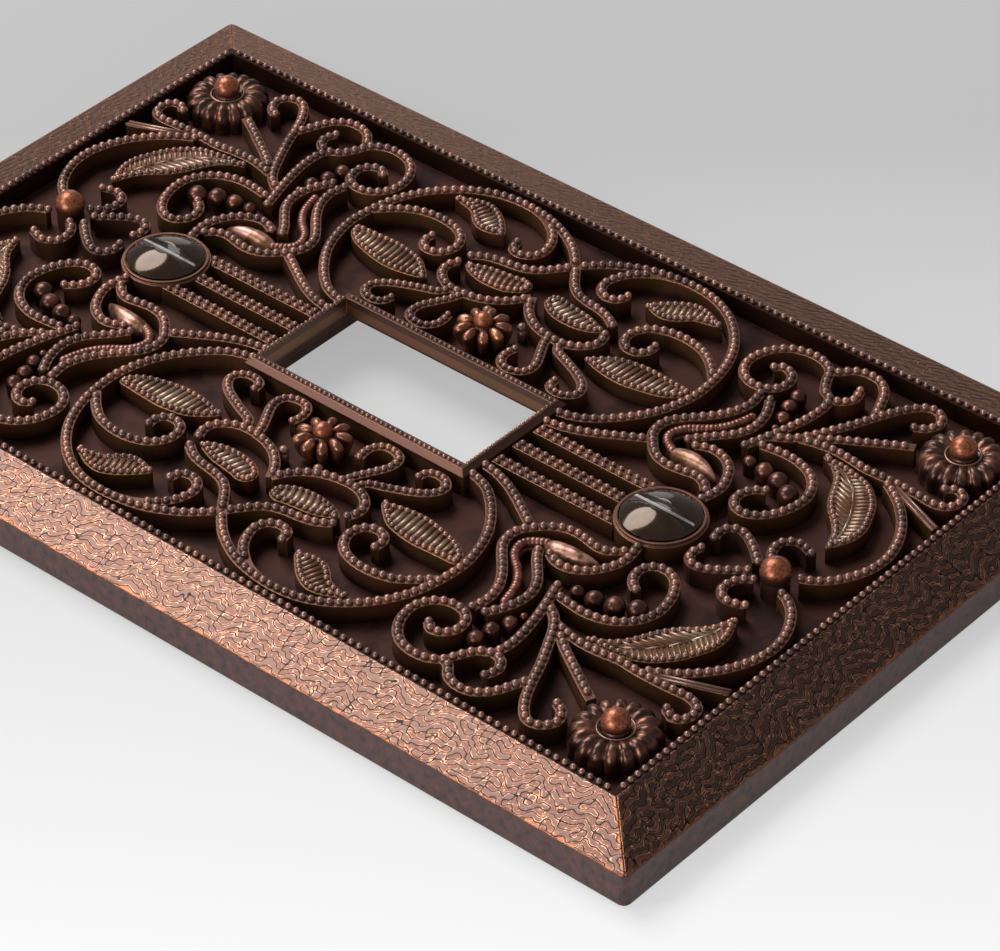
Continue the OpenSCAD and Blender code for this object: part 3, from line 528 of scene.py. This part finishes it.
# one side, drawn at the lower end of the plate and turned to its place
def addBevelSide(bm, shares, halfLong, halfShort, quarterTurns):
    rise = bevel["high"] - bevel["low"]
    slope = math.hypot(bevel["run"], rise)
    turn = Matrix.Rotation(math.pi / 2 * quarterTurns, 3, "Z")
    waves = wormWaves(worms["seedStep"] * quarterTurns)
    grid = bmesh.ops.create_grid(bm, x_segments=round(2 * halfLong / bevel["cellAlong"]),
                                 y_segments=round(slope / bevel["cellAcross"]), size=1)["verts"]
    for vert in grid:
        across = (vert.co.y + 1) / 2  # 0 at the wall's rim, 1 at the ledge
        along = vert.co.x * (halfLong - bevel["rim"] - across * bevel["run"])
        out = halfShort - bevel["rim"] - across * (bevel["run"] - bevel["rim"])
        toRim, toLedge = slope * across, slope * (1 - across)
        toMitre = halfLong - across * bevel["run"] - abs(along)
        toEdge = toIslandEdge(waves, along, toRim)
        island = smoothStep(*bevel["islandEdge"], toEdge)
        inside = smoothStep(0, bevel["fade"], min(toRim, toLedge, bevel["mitreFade"] * toMitre))
        wear = rubbedShare(along, toRim, toMitre, island)
        lift = bevel["ground"] + inside * island * bevel["island"]
        along, out = roundCorner(along, out, halfLong, halfShort)
        height = bevel["low"] + (halfShort - out) * rise / bevel["run"]
        outwards = inside * lift * rise / slope
        spot = Vector((along, -out - outwards, height + lift * bevel["run"] / slope))
        vert.co = turn @ spot * mm
        vert[shares] = (0.5 + max(-0.5, min(0.5, toEdge)), inside, wear, 1)  # a colour holds 0 to 1


for quarterTurns, name in enumerate(("lower", "right", "upper", "left")):
    halves = (bevel["halfWidth"], bevel["halfLength"])
    bm = bmesh.new()
    shares = bm.verts.layers.float_color.new("relief")
    addBevelSide(bm, shares, *(halves if quarterTurns % 2 == 0 else halves[::-1]), quarterTurns)
    rims = [edge for edge in bm.edges if edge.is_boundary]
    skirt = bmesh.ops.extrude_edge_only(bm, edges=rims)["geom"]
    bmesh.ops.translate(bm, vec=(0, 0, -bevel["skirt"] * mm),
                        verts=[item for item in skirt if isinstance(item, bmesh.types.BMVert)])
    finishPiece(name + "_bevel_relief", bm, relief)
print("bevel relief")


# Scroll beads: one row on top of every scroll wall, drawn for one quarter and mirrored

scrollRoutes = {
    "ring": [[5.7, 12.6], [6.4, 15.2], [7.7, 17], [9.3, 18.5], [11.2, 19.8], [13.4, 20.7], [15.8, 21.2],
             [18.2, 21.1], [20.4, 20.7], [22.4, 20], [24.3, 18.9], [26, 17.4], [27.4, 15.6], [28.4, 13.4],
             [28.8, 11], [28.7, 8.5], [28.2, 6], [27.3, 3.9], [26, 1.9], [24.1, 0]],
    "ringReturn": [[24.1, 0], [22.8, 1], [21.7, 1.9], [20.9, 3], [20.5, 4.4], [20.3, 5.9], [19.9, 7.4],
                   [19.1, 8.7]],
    "ringLoop": [[17.8, 0], [16.4, 0.8], [15.3, 1.9], [14.5, 3.3], [14.1, 4.9], [14, 6.5], [14.4, 7.9],
                 [15.3, 9], [16.5, 9.4], [17.6, 9]],
    "ringHook": [[28.7, 8.8], [28.2, 7.2], [27.4, 5.9], [26.4, 4.8], [25.2, 4.1], [23.8, 3.8], [22.7, 4.3],
                 [22.2, 5.3], [22.5, 6.4], [23.6, 6.8]],
    "ringScroll": [[18.8, 20.8], [20.2, 19.4], [21.2, 18], [21.7, 16.6], [21.9, 15], [21.7, 13.2],
                   [21, 11.7], [19.7, 10.8], [18.4, 10.8], [17.4, 11.6], [17.3, 12.9], [18.1, 13.7],
                   [19.2, 13.7]],
    "flowerCurl": [[14.1, 5.2], [12.9, 5.6], [11.6, 6.3], [10.3, 7], [9.2, 7.2], [8.3, 6.8], [7.9, 5.8],
                   [8, 4.8], [8.7, 4.1], [9.7, 3.9], [10.6, 4.1]],
    "bezelCurl": [[14, 6.6], [12.9, 7.3], [12.4, 8.5], [11.9, 9.7], [11.3, 11], [10.6, 12.1], [9.7, 12.8],
                  [8.8, 12.8], [8.1, 12], [8, 11], [8.4, 10.2], [9.3, 10]],
    "spraySpiral": [[12.9, 29.2], [15, 29.9], [17.4, 30.6], [19.8, 31.1], [21.8, 31.2], [23.2, 30.8],
                    [23.9, 29.7], [25.2, 28.9], [26.6, 28.2], [27.4, 26.8], [27.5, 25.2], [27, 23.6],
                    [25.9, 22.4], [24.4, 21.7], [22.8, 21.6], [21.4, 22.3], [20.6, 23.6], [20.6, 25.1],
                    [21.4, 26.2], [22.8, 26.5], [23.9, 25.9], [24.3, 24.8], [23.7, 24]],
    "sprayHook": [[23.2, 30.8], [23.5, 31.9], [24.6, 32.6], [25.9, 32.2]],
    "sprayTendril": [[15.3, 30.2], [16.2, 31.6], [17.4, 32.6], [19.4, 33.7], [21.8, 34.9], [24.2, 35.9],
                     [26.3, 37], [27.8, 38.4], [27.8, 39.8], [26.6, 40.7], [25.3, 40.2], [24.7, 39.2]],
    "sprayLoop": [[23.6, 35.6], [25.3, 34.9], [27, 34.1], [28.2, 32.8], [28.4, 31.2], [27.9, 29.9],
                  [26.9, 29], [26.6, 28.2]],
    "sprayStem": [[17.4, 33.2], [18.8, 35], [20.3, 37.4], [21.6, 39.5], [22.8, 41.6]],
    "sprayStalk": [[16.8, 32.4], [17.4, 35], [17.4, 37.4], [17.1, 39.6], [17.2, 41.6], [17.2, 43.6],
                   [17.1, 45.6], [17, 47.2], [17.5, 48.4], [18.6, 48.8], [19.6, 48.4], [19.9, 47.5],
                   [19.3, 46.6]],
    "sprayGarland": [[16.6, 42.4], [15.4, 44.3], [13.8, 46], [12, 47.3], [10, 48.2], [8, 48.6], [6, 48.4],
                     [4.2, 47.7], [2.7, 46.7], [1.7, 45.5], [1.3, 44.6]],
    "grapeScroll": [[13.9, 30.4], [14.1, 31.8], [14.2, 33.4], [13.9, 35], [13.2, 36.4], [12, 37.5],
                    [10.4, 38.1], [8.8, 38], [7.3, 37.5], [6, 36.6], [5.3, 35.4], [5.4, 34.2], [6.2, 33.4],
                    [7.3, 33.3], [8.3, 33.8], [9, 34.7]],
    "ribbonOuter": [[19.8, 25.5], [18.2, 25.8], [16.6, 25.5], [15.2, 24.8], [13.9, 23.8], [12.7, 22.7],
                    [11.5, 21.8], [10.2, 21.5], [9, 21.8], [8, 22.6], [7.1, 23.5], [6.5, 24.6], [6.3, 26],
                    [6.5, 27.4], [6.7, 28.6], [6.4, 29.7], [5.6, 30.6]],
    "ribbonInner": [[19.6, 26.8], [18.2, 27.6], [16.6, 28.1], [15, 28.1], [13.6, 27.5], [12.4, 26.5],
                    [11.3, 25.5], [10.3, 24.8]],
    "ribbonCup": [[10, 25.9], [10.5, 26.9], [10.6, 28], [10.2, 29.2], [9.4, 30.2], [8.3, 30.9], [7, 31.4],
                  [5.7, 31.4], [4.4, 31.1]],
    "ribbonStem": [[4.1, 12.6], [4.4, 14.8], [5, 16.6], [5.8, 18.2], [6.7, 19.7], [7.5, 21], [8.2, 22.2]],
    "finialHeart": [[0.9, 35.4], [1.8, 35.2], [2.7, 35.5], [3.2, 36.4], [2.9, 37.5], [2.2, 38.6],
                    [1.4, 39.6], [0.7, 40.4]],
    "finialArm": [[1.4, 41.6], [2, 40.8], [2.9, 40.3], [3.9, 40.2], [4.7, 40.7], [5.1, 41.6], [4.9, 42.5],
                  [4.6, 43.2]],
}
scrollBeads = {"radius": 0.4, "pitch": 0.83, "height": 5.1, "apart": 0.62, "lowestY": 0.3}
curlBeads = {"routes": ("flowerCurl", "bezelCurl"), "radius": 0.33, "pitch": 0.66, "apart": 0.5}
# what the beads keep clear of: half sizes, then places with a radius
fittings = {"bezel": (7.2, 13.4), "collar": (screwY, 4.45), "rosette": (*rosettePlace, 4.6)}


# whether a bead there is in this quarter and clear of the bezel, the collar and the rosette
def onWall(x, y):
    inBezel = x < fittings["bezel"][0] and y < fittings["bezel"][1]
    inCollar = math.hypot(x, y - fittings["collar"][0]) < fittings["collar"][1]
    rosetteX, rosetteY, rosetteRadius = fittings["rosette"]
    inRosette = math.hypot(x - rosetteX, y - rosetteY) < rosetteRadius
    return y > scrollBeads["lowestY"] and not (inBezel or inCollar or inRosette)


quarterBeads = []
for name, route in scrollRoutes.items():
    row = curlBeads if name in curlBeads["routes"] else scrollBeads
    for place, direction in evenPlaces(smoothRoute(route), row["pitch"]):
        clear = all((place - other).length > row["apart"] for other, radius in quarterBeads)
        if onWall(*place) and clear:
            quarterBeads.append((place, row["radius"]))
for quarter, (sideX, sideY) in quarters.items():
    bm = bmesh.new()
    for size in (scrollBeads["radius"], curlBeads["radius"]):
        row = [(sideX * place.x, sideY * place.y, scrollBeads["height"])
               for place, radius in quarterBeads if radius == size]
        addBeads(bm, row, size)
    finishPiece(quarter + "_scroll_beads", bm, beads)
print("scroll beads:", len(quarterBeads), "in each quarter")


# Bead rows on the frame's ledge, the bezel's ridge and the ribs

straightRows = {
    "frame_beads": {"halfX": 30.15, "halfY": 50.15, "height": 5.33, "radius": 0.3, "pitch": 0.91},
    "bezel_beads": {"halfX": 6.25, "halfY": 12.66, "height": 5.72, "radius": 0.21, "pitch": 0.58},
}
for name, row in straightRows.items():
    places = []
    sides = ((row["halfY"], row["halfX"], 1), (row["halfX"], row["halfY"], 0))
    for halfLong, halfShort, lengthwise in sides:
        count = round(2 * halfLong / row["pitch"])
        for i in range(1 - lengthwise, count):
            along = -halfLong + 2 * halfLong * i / count
            for side in (-1, 1):
                spot = (side * halfShort, side * along) if lengthwise else (side * along, side * halfShort)
                places.append((*spot, row["height"]))
    bm = bmesh.new()
    addBeads(bm, places, row["radius"])
    finishPiece(name, bm, beads)

ribBeads = {"middles": (-2.8, 0, 2.8), "from": 13.9, "collarGap": 4.65, "height": 5.12,
            "rows": (-0.33, 0.33), "radius": 0.27, "pitch": 0.92}
places = []
for x in [middle + row for middle in ribBeads["middles"] for row in ribBeads["rows"]]:
    end = screwY - math.sqrt(ribBeads["collarGap"] ** 2 - x ** 2)
    line = [Vector((x, ribBeads["from"])), Vector((x, end))]
    for place, direction in evenPlaces(line, ribBeads["pitch"]):
        places += [(place.x, side * place.y, ribBeads["height"]) for side in (-1, 1)]
bm = bmesh.new()
addBeads(bm, places, ribBeads["radius"])
finishPiece("rib_beads", bm, beads)
print("straight bead rows")


# Leaves: a bead row inside the outline and wiped bars across, or two sets of veins on the acanthus

leaves = {
    "tall": {"outline": [[14, 9.8], [15.1, 10.9], [16, 12.2], [16.4, 13.8], [16.6, 15.6], [16.5, 17.4],
                         [16.4, 19], [16.2, 20.4], [15, 20.3], [13.9, 18.9], [13.3, 17], [12.9, 15],
                         [12.9, 13.2], [13.2, 11.4], [13.6, 10.2]],
             "angles": [5], "pitch": 0.66, "bar": 0.25, "margin": 0.7},
    "loop": {"outline": [[19.3, 1.2], [18.1, 1.2], [17.1, 2.5], [16.7, 4.2], [16.8, 6.2], [17.4, 7.8],
                         [18.1, 8.4], [18.7, 7.4], [19.2, 6], [19.4, 4.6], [19.6, 3.2], [19.8, 2.2]],
             "angles": [20], "pitch": 0.66, "bar": 0.25, "margin": 0.7},
    "side": {"outline": [[24, 8.7], [25.2, 9.7], [26.3, 11], [27, 12.5], [26.9, 14], [26.3, 15.4],
                         [25.6, 16.4], [25.2, 15.2], [24.8, 13.8], [23.8, 12.7], [23.2, 11.6], [23.2, 10.3],
                         [23.6, 9.2]],
             "angles": [-20], "pitch": 0.6, "bar": 0.22, "margin": 0.7},
    "acanthus": {"outline": [[16.4, 35.4], [15.6, 36.8], [14.6, 37.9], [13.2, 38.7], [11.8, 39.4],
                             [10.5, 40.4], [9.4, 41.6], [8.2, 42.6], [6.2, 43.5], [7.4, 44.3], [8.8, 44.8],
                             [10.4, 44.8], [12, 44.2], [13.6, 43.4], [15, 42.2], [16, 40.8], [16.4, 39.2],
                             [16.7, 37.4]],
                 "angles": [103, 50], "pitch": 0.5, "bar": 0.15, "margin": 0.2, "tip": 8,
                 "vein": [[16.4, 36.2], [15.6, 38.4], [14.4, 40.2], [12.8, 41.5], [11, 42.5], [9, 43.3],
                          [7, 43.6]]},
}
leafDetail = {"barHeight": 4.8, "beadHeight": 4.88, "inset": 0.4, "beadRadius": 0.3, "beadPitch": 0.7,
              "shortest": 0.2}


# the stretches of parallel lines that lie inside an outline
def linesInside(outline, angle, pitch, margin):
    turn = Matrix.Rotation(math.radians(-angle), 2)
    back = turn.inverted()
    corners = [turn @ Vector(point) for point in outline]
    level = min(corner.y for corner in corners) + pitch
    stretches = []
    while level < max(corner.y for corner in corners):
        pairs = zip(corners, corners[1:] + corners[:1])
        crossings = sorted(a.x + (b.x - a.x) * (level - a.y) / (b.y - a.y)
                           for a, b in pairs if (a.y > level) != (b.y > level))
        for start, end in zip(crossings[::2], crossings[1::2]):
            if end - start > 2 * margin + leafDetail["shortest"]:
                ends = ((start + margin, level), (end - margin, level))
                stretches.append([back @ Vector(spot) for spot in ends])
        level += pitch
    return stretches


beadPlaces, bars = [], []
for leaf in leaves.values():
    line = smoothRoute(leaf["outline"], closed=True)
    area = sum(a.x * b.y - b.x * a.y for a, b in zip(line, line[1:]))
    for place, direction in evenPlaces(line, leafDetail["beadPitch"])[:-1]:
        inwards = math.copysign(1, area) * Vector((-direction.y, direction.x))
        beadPlaces.append(place + leafDetail["inset"] * inwards)
    fields = [leaf["outline"]]
    if "vein" in leaf:
        base, tip = leaf["outline"][:1], leaf["tip"]
        fields = [leaf["outline"][:tip + 1] + leaf["vein"][::-1],
                  leaf["outline"][tip:] + base + leaf["vein"]]
        bars += [(Vector(a), Vector(b), leaf["bar"]) for a, b in zip(leaf["vein"], leaf["vein"][1:])]
    for field, angle in zip(fields, leaf["angles"]):
        bars += [(*ends, leaf["bar"]) for ends in linesInside(field, angle, leaf["pitch"], leaf["margin"])]
for quarter, (sideX, sideY) in quarters.items():
    beadMesh, barMesh = bmesh.new(), bmesh.new()
    places = [(sideX * spot.x, sideY * spot.y, leafDetail["beadHeight"]) for spot in beadPlaces]
    addBeads(beadMesh, places, leafDetail["beadRadius"])
    for start, end, radius in bars:
        ends = [(sideX * spot.x, sideY * spot.y) for spot in (start, end)]
        addBar(barMesh, *ends, leafDetail["barHeight"], radius)
    finishPiece(quarter + "_leaf_beads", beadMesh, beads)
    finishPiece(quarter + "_leaf_bars", barMesh, hatch)
print("leaf detail")


# Rosettes: a low dome with round ribs, a ring and a copper boss

rosette = {
    "ribs": 16, "stepsInRib": 6, "groove": 0.42, "pinch": 0.13,
    "ribsFrom": (1.6, 2.1), "foot": (3.1, 3.6),
    "profile": [(1.3, 5.1), (1.75, 5.3), (2.1, 5.62), (2.7, 5.75), (3.3, 5.6), (3.8, 5.15), (4.1, 4.5),
                (4.2, 3.12)],
    "bossRadius": 1.3, "bossHeight": 5.9, "bossSegments": (32, 20),
    "ringRadius": 1.62, "ringHeight": 5.3, "ringThick": 0.1,
}
for quarter, (sideX, sideY) in quarters.items():
    x, y = sideX * rosettePlace[0], sideY * rosettePlace[1]
    centre = Vector((x, y, 0)) * mm
    bm = bmesh.new()
    line = [bm.verts.new(Vector((r, 0, z)) * mm) for r, z in rosette["profile"]]
    edges = [bm.edges.new(pair) for pair in zip(line, line[1:])]
    bmesh.ops.spin(bm, geom=line + edges, cent=(0, 0, 0), axis=(0, 0, 1), angle=math.tau,
                   steps=rosette["ribs"] * rosette["stepsInRib"], use_merge=True)
    for vert in bm.verts:
        angle = math.atan2(vert.co.y, vert.co.x)
        valley = 1 - abs(math.sin(angle * rosette["ribs"] / 2))
        depth = valley ** 2 * smoothStep(*rosette["ribsFrom"], vert.co.xy.length / mm)
        vert.co.z -= rosette["groove"] * mm * depth * smoothStep(*rosette["foot"], vert.co.z / mm)
        vert.co.xy *= 1 - rosette["pinch"] * depth
    bmesh.ops.recalc_face_normals(bm, faces=bm.faces)
    bmesh.ops.translate(bm, vec=centre, verts=bm.verts)
    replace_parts(finishPiece(quarter + "_rosette_ribs", bm, bronze["rosettes"]), quarter + "_rosette")

    bm = bmesh.new()
    addBall(bm, x, y, rosette["bossHeight"], rosette["bossRadius"], rosette["bossSegments"])
    finishPiece(quarter + "_rosette_boss", bm, copper)

    bm = bmesh.new()
    upright = Matrix.Rotation(math.pi / 2, 4, "X")
    hoop = bmesh.ops.create_circle(bm, segments=8, radius=rosette["ringThick"] * mm, matrix=upright)["verts"]
    bmesh.ops.translate(bm, vec=Vector((rosette["ringRadius"], 0, rosette["ringHeight"])) * mm, verts=hoop)
    bmesh.ops.spin(bm, geom=hoop + list(bm.edges), cent=(0, 0, 0), axis=(0, 0, 1), angle=math.tau, steps=48,
                   use_merge=True)
    bmesh.ops.recalc_face_normals(bm, faces=bm.faces)
    bmesh.ops.translate(bm, vec=centre, verts=bm.verts)
    finishPiece(quarter + "_rosette_ring", bm, beads)
print("rosettes")


# Flowers: rounded petals that lean outwards, a copper heart and two buds

flower = {"places": {"left": -10.9, "right": 10.9}, "count": 9, "middle": 1.85, "long": 0.95, "wide": 0.66,
          "root": 0.55, "height": 5.5, "rise": 0.6, "under": 2.4, "lean": 10,
          "heartRadius": 0.9, "heartHeight": 6.1, "heartSegments": (24, 16),
          "bud": (3, 2.1), "budRadius": 0.5, "budHeight": 4.6, "budSegments": (16, 12)}
lean = Matrix.Rotation(math.radians(flower["lean"]), 3, "Y")
for side, x in flower["places"].items():
    bm = bmesh.new()
    for k in range(flower["count"]):
        ball = bmesh.ops.create_uvsphere(bm, u_segments=12, v_segments=10, radius=1)["verts"]
        for vert in ball:
            vert.co.y *= flower["root"] + (1 - flower["root"]) * (vert.co.x + 1) / 2
            vert.co.z *= flower["rise"] if vert.co.z > 0 else flower["under"]
        bmesh.ops.scale(bm, vec=Vector((flower["long"], flower["wide"], 1)) * mm, verts=ball)
        bmesh.ops.rotate(bm, cent=(0, 0, 0), matrix=lean, verts=ball)
        bmesh.ops.translate(bm, vec=Vector((flower["middle"], 0, flower["height"])) * mm, verts=ball)
        turn = Matrix.Rotation(math.tau * (k + 0.5) / flower["count"], 3, "Z")
        bmesh.ops.rotate(bm, cent=(0, 0, 0), matrix=turn, verts=ball)
    bmesh.ops.translate(bm, vec=(x * mm, 0, 0), verts=bm.verts)
    piece = finishPiece(side + "_flower_petals", bm, bronze["flowers"])
    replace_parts(piece, side + "_flower")

    bm = bmesh.new()
    addBall(bm, x, 0, flower["heartHeight"], flower["heartRadius"], flower["heartSegments"])
    finishPiece(side + "_flower_heart", bm, copper)

    bm = bmesh.new()
    budX = x + math.copysign(flower["bud"][0], x)
    for budY in (flower["bud"][1], -flower["bud"][1]):
        addBall(bm, budX, budY, flower["budHeight"], flower["budRadius"], flower["budSegments"])
    finishPiece(side + "_flower_buds", bm, beads)
print("flowers")


# Ribbons: a ribbed rope that runs into a smooth drop, and two thin ridges on the spike beside the stalk

rope = {"route": [[17, 26.8], [15.2, 26.3], [13.8, 25.5], [12.8, 24.5], [12, 23.5], [11, 22.9], [10, 22.8],
                  [9.2, 23.4], [8.6, 24.4]],
        "radius": 0.5, "pitch": 0.4, "height": 4.5, "floor": 3.1}
drop = {"middle": (8.4, 27), "angle": 96, "long": 3.05, "wide": 1.12, "tail": 0.45, "bend": 0.35,
        "base": 4.1, "rise": 1.25}
dropTurn = Matrix.Rotation(math.radians(drop["angle"]), 3, "Z")
spike = {"ends": ((16.9, 42.6), (14.3, 49.3)), "apart": 0.24, "radius": 0.14, "height": 5.02}
for quarter, (sideX, sideY) in quarters.items():
    bm = bmesh.new()
    line = smoothRoute(rope["route"])
    places = [(sideX * place.x, sideY * place.y, rope["height"])
              for place, direction in evenPlaces(line, rope["pitch"])]
    addBeads(bm, places, rope["radius"])
    for pair in zip(line, line[1:]):
        ends = [(sideX * spot.x, sideY * spot.y) for spot in pair]
        addBar(bm, *ends, (rope["floor"] + rope["height"]) / 2, rope["radius"])
    finishPiece(quarter + "_rope_ribs", bm, rosy["rope"])

    bm = bmesh.new()
    bmesh.ops.create_uvsphere(bm, u_segments=32, v_segments=24, radius=1)
    for vert in bm.verts:
        tail = (vert.co.x + 1) / 2  # 0 at the rope, 1 at the pointed end
        vert.co.y *= drop["wide"] * (1 - (1 - drop["tail"]) * tail ** 2)
        vert.co.y += drop["bend"] * (vert.co.x ** 2 - 0.5)
        vert.co.z *= drop["rise"] if vert.co.z > 0 else drop["base"] - rope["floor"]
        vert.co.x *= drop["long"]
    bmesh.ops.rotate(bm, cent=(0, 0, 0), matrix=dropTurn, verts=bm.verts)
    bmesh.ops.translate(bm, vec=(*drop["middle"], drop["base"]), verts=bm.verts)
    bmesh.ops.scale(bm, vec=(sideX * mm, sideY * mm, mm), verts=bm.verts)
    bmesh.ops.recalc_face_normals(bm, faces=bm.faces)
    piece = finishPiece(quarter + "_smooth_drop", bm, rosy["drop"])
    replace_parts(piece, quarter + "_ribbon_drop")

    bm = bmesh.new()
    for shift in (-spike["apart"], spike["apart"]):
        ends = [(sideX * (x + shift), sideY * y) for x, y in spike["ends"]]
        addBar(bm, *ends, spike["height"], spike["radius"])
    finishPiece(quarter + "_spike_ridges", bm, beads)
print("ropes and spikes")


# Screws: the model's head and neck with a real thread below

thread = {"neckZ": 1.8, "tipZ": -7.5, "core": 1.32, "crest": 1.75, "pitch": 0.794, "stepsInTurn": 16,
          "overlap": 0.05, "sunk": 0.06, "weld": 0.001, "cutSlack": 0.0001, "sharpAngle": 30}
turns = math.floor((thread["neckZ"] - thread["tipZ"]) / thread["pitch"]) - 1
for name, y in (("upper_screw", screwY), ("lower_screw", -screwY)):
    bm = bmesh.new()
    bm.from_mesh(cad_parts[name].data)
    bmesh.ops.remove_doubles(bm, verts=bm.verts, dist=thread["weld"] * mm)
    cutAt = thread["neckZ"] + thread["overlap"]
    whole = bm.verts[:] + bm.edges[:] + bm.faces[:]
    cut = bmesh.ops.bisect_plane(bm, geom=whole, dist=thread["cutSlack"] * mm, plane_co=(0, 0, cutAt * mm),
                                 plane_no=(0, 0, 1), clear_inner=True)["geom_cut"]
    bmesh.ops.holes_fill(bm, edges=[item for item in cut if isinstance(item, bmesh.types.BMEdge)])
    length = cutAt + thread["overlap"] - thread["tipZ"]
    middle = Matrix.Translation(Vector((0, y, thread["tipZ"] + length / 2)) * mm)
    bmesh.ops.create_cone(bm, cap_ends=True, segments=32, radius1=thread["core"] * mm,
                          radius2=thread["core"] * mm, depth=length * mm, matrix=middle)
    root, low = thread["core"] - thread["sunk"], thread["tipZ"] + thread["overlap"]
    corners = ((root, low), (thread["crest"], low + thread["pitch"] / 2), (root, low + thread["pitch"]))
    tooth = bm.faces.new([bm.verts.new(Vector((r, y, z)) * mm) for r, z in corners])
    rise = thread["pitch"] / thread["stepsInTurn"] * mm
    bmesh.ops.spin(bm, geom=[tooth] + tooth.edges[:] + tooth.verts[:], cent=(0, y * mm, 0), axis=(0, 0, 1),
                   angle=math.tau * turns, steps=turns * thread["stepsInTurn"], dvec=(0, 0, rise))
    bmesh.ops.recalc_face_normals(bm, faces=bm.faces)
    piece = finishPiece(name + "_threaded", bm, steel, body=name)
    piece.data.set_sharp_from_angle(angle=math.radians(thread["sharpAngle"]))
    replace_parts(piece, name)
print("threaded screws")


# Stage: a flat sheet of pale paper, four round lamps and the camera

stage = {"near": "#ffffff", "shadedFar": "#bfbfbf", "nearAt": -0.09, "farAt": 0.049, "across": (0.75, 0.661, 0),
         "glow": 0.65, "height": -0.3 * mm, "size": 3}


# Matt paper, white in front and grey behind, where the grey is painted shade and a painted glow lifts it for
# camera and glossy rays; it is clear from below so that the back shows.
def studioPaper(look):
    material, tree, place = startMaterial("studioPaper")
    depth = addNode(tree, "VectorMath", {"operation": "DOT_PRODUCT"},
                    [place, look["across"]]).outputs["Value"]
    fade = addNode(tree, "MapRange", {}, [depth, look["nearAt"], look["farAt"]]).outputs[0]
    # painted shade: the paper greys towards the back
    colour = addNode(tree, "Mix", inColour, {0: fade, 6: look["near"], 7: look["shadedFar"]}).outputs[2]
    matt = addNode(tree, "BsdfPrincipled", {},
                   {"Base Color": colour, "Roughness": 1, "Specular IOR Level": 0}).outputs[0]
    glow = addNode(tree, "Emission", {}, [colour, 1]).outputs[0]
    rays = addNode(tree, "LightPath").outputs
    seen = rays["Is Camera Ray"]
    for kind in ("Is Glossy Ray", "Is Transmission Ray"):
        seen = addNode(tree, "Math", {"operation": "MAXIMUM"}, [seen, rays[kind]]).outputs[0]
    share = addNode(tree, "Math", {"operation": "MULTIPLY"}, [seen, look["glow"]]).outputs[0]
    paper = addNode(tree, "MixShader", {}, [share, matt, glow]).outputs[0]
    clear = addNode(tree, "BsdfTransparent").outputs[0]
    behind = addNode(tree, "NewGeometry").outputs["Backfacing"]
    both = addNode(tree, "MixShader", {}, [behind, paper, clear]).outputs[0]
    addNode(tree, "OutputMaterial", {}, {"Surface": both})
    return material


bm = bmesh.new()
bmesh.ops.create_grid(bm, x_segments=1, y_segments=1, size=stage["size"] / 2,
                      matrix=Matrix.Translation((0, 0, stage["height"])))
floorMesh = bpy.data.meshes.new("floor")
bm.to_mesh(floorMesh)
bm.free()
floorMesh.materials.append(studioPaper(stage))
floor = bpy.data.objects.new("floor", floorMesh)
bpy.context.scene.collection.objects.link(floor)

lamps = {
    "softbox": {"towards": (0.09, 0.6, 0.795), "away": 0.7, "size": 0.5, "power": 4.3},
    "sideLight": {"towards": (-0.61, 0.5, 0.59), "away": 0.8, "size": 0.3, "power": 1.6},
    "fill": {"towards": (-0.95, -0.05, 0.22), "away": 0.9, "size": 0.5, "power": 3.8},
    "backLight": {"towards": (0.66, 0.62, 0.22), "away": 1.2, "size": 0.6, "power": 0.6},
}
for name, lamp in lamps.items():
    data = bpy.data.lights.new(name, "AREA")
    data.shape = "DISK"
    data.size = lamp["size"]
    data.energy = lamp["power"]
    light = bpy.data.objects.new(name, data)
    towards = Vector(lamp["towards"]).normalized()
    light.location = towards * lamp["away"]
    light.rotation_euler = towards.to_track_quat("Z", "Y").to_euler()
    bpy.context.scene.collection.objects.link(light)

room = {"colour": "#d8d8d8", "strength": 0.36}
world = bpy.data.worlds.new("studio")
world.use_nodes = True
background = world.node_tree.nodes["Background"]
background.inputs["Color"].default_value = linear(room["colour"])
background.inputs["Strength"].default_value = room["strength"]
bpy.context.scene.world = world

# fitted to the plate's edges in the photo and to the 60.3 mm between its screws
view = {"lens": 168.17, "sensor": 36, "nearest": 0.01, "place": (-248.93, -230.66, 260.38),
        "aim": (0.3, -11.16, 0), "roll": -0.71}
cameraData = bpy.data.cameras.new("camera")
cameraData.lens = view["lens"]
cameraData.sensor_width = view["sensor"]
cameraData.clip_start = view["nearest"]
camera = bpy.data.objects.new("camera", cameraData)
aim = (Vector(view["aim"]) - Vector(view["place"])).to_track_quat("-Z", "Y").to_matrix().to_4x4()
roll = Matrix.Rotation(math.radians(view["roll"]), 4, "Z")
camera.matrix_world = Matrix.Translation(Vector(view["place"]) * mm) @ aim @ roll
bpy.context.scene.collection.objects.link(camera)
bpy.context.scene.camera = camera
bpy.context.scene.view_settings.view_transform = "Standard"
print("stage, lamps and camera")
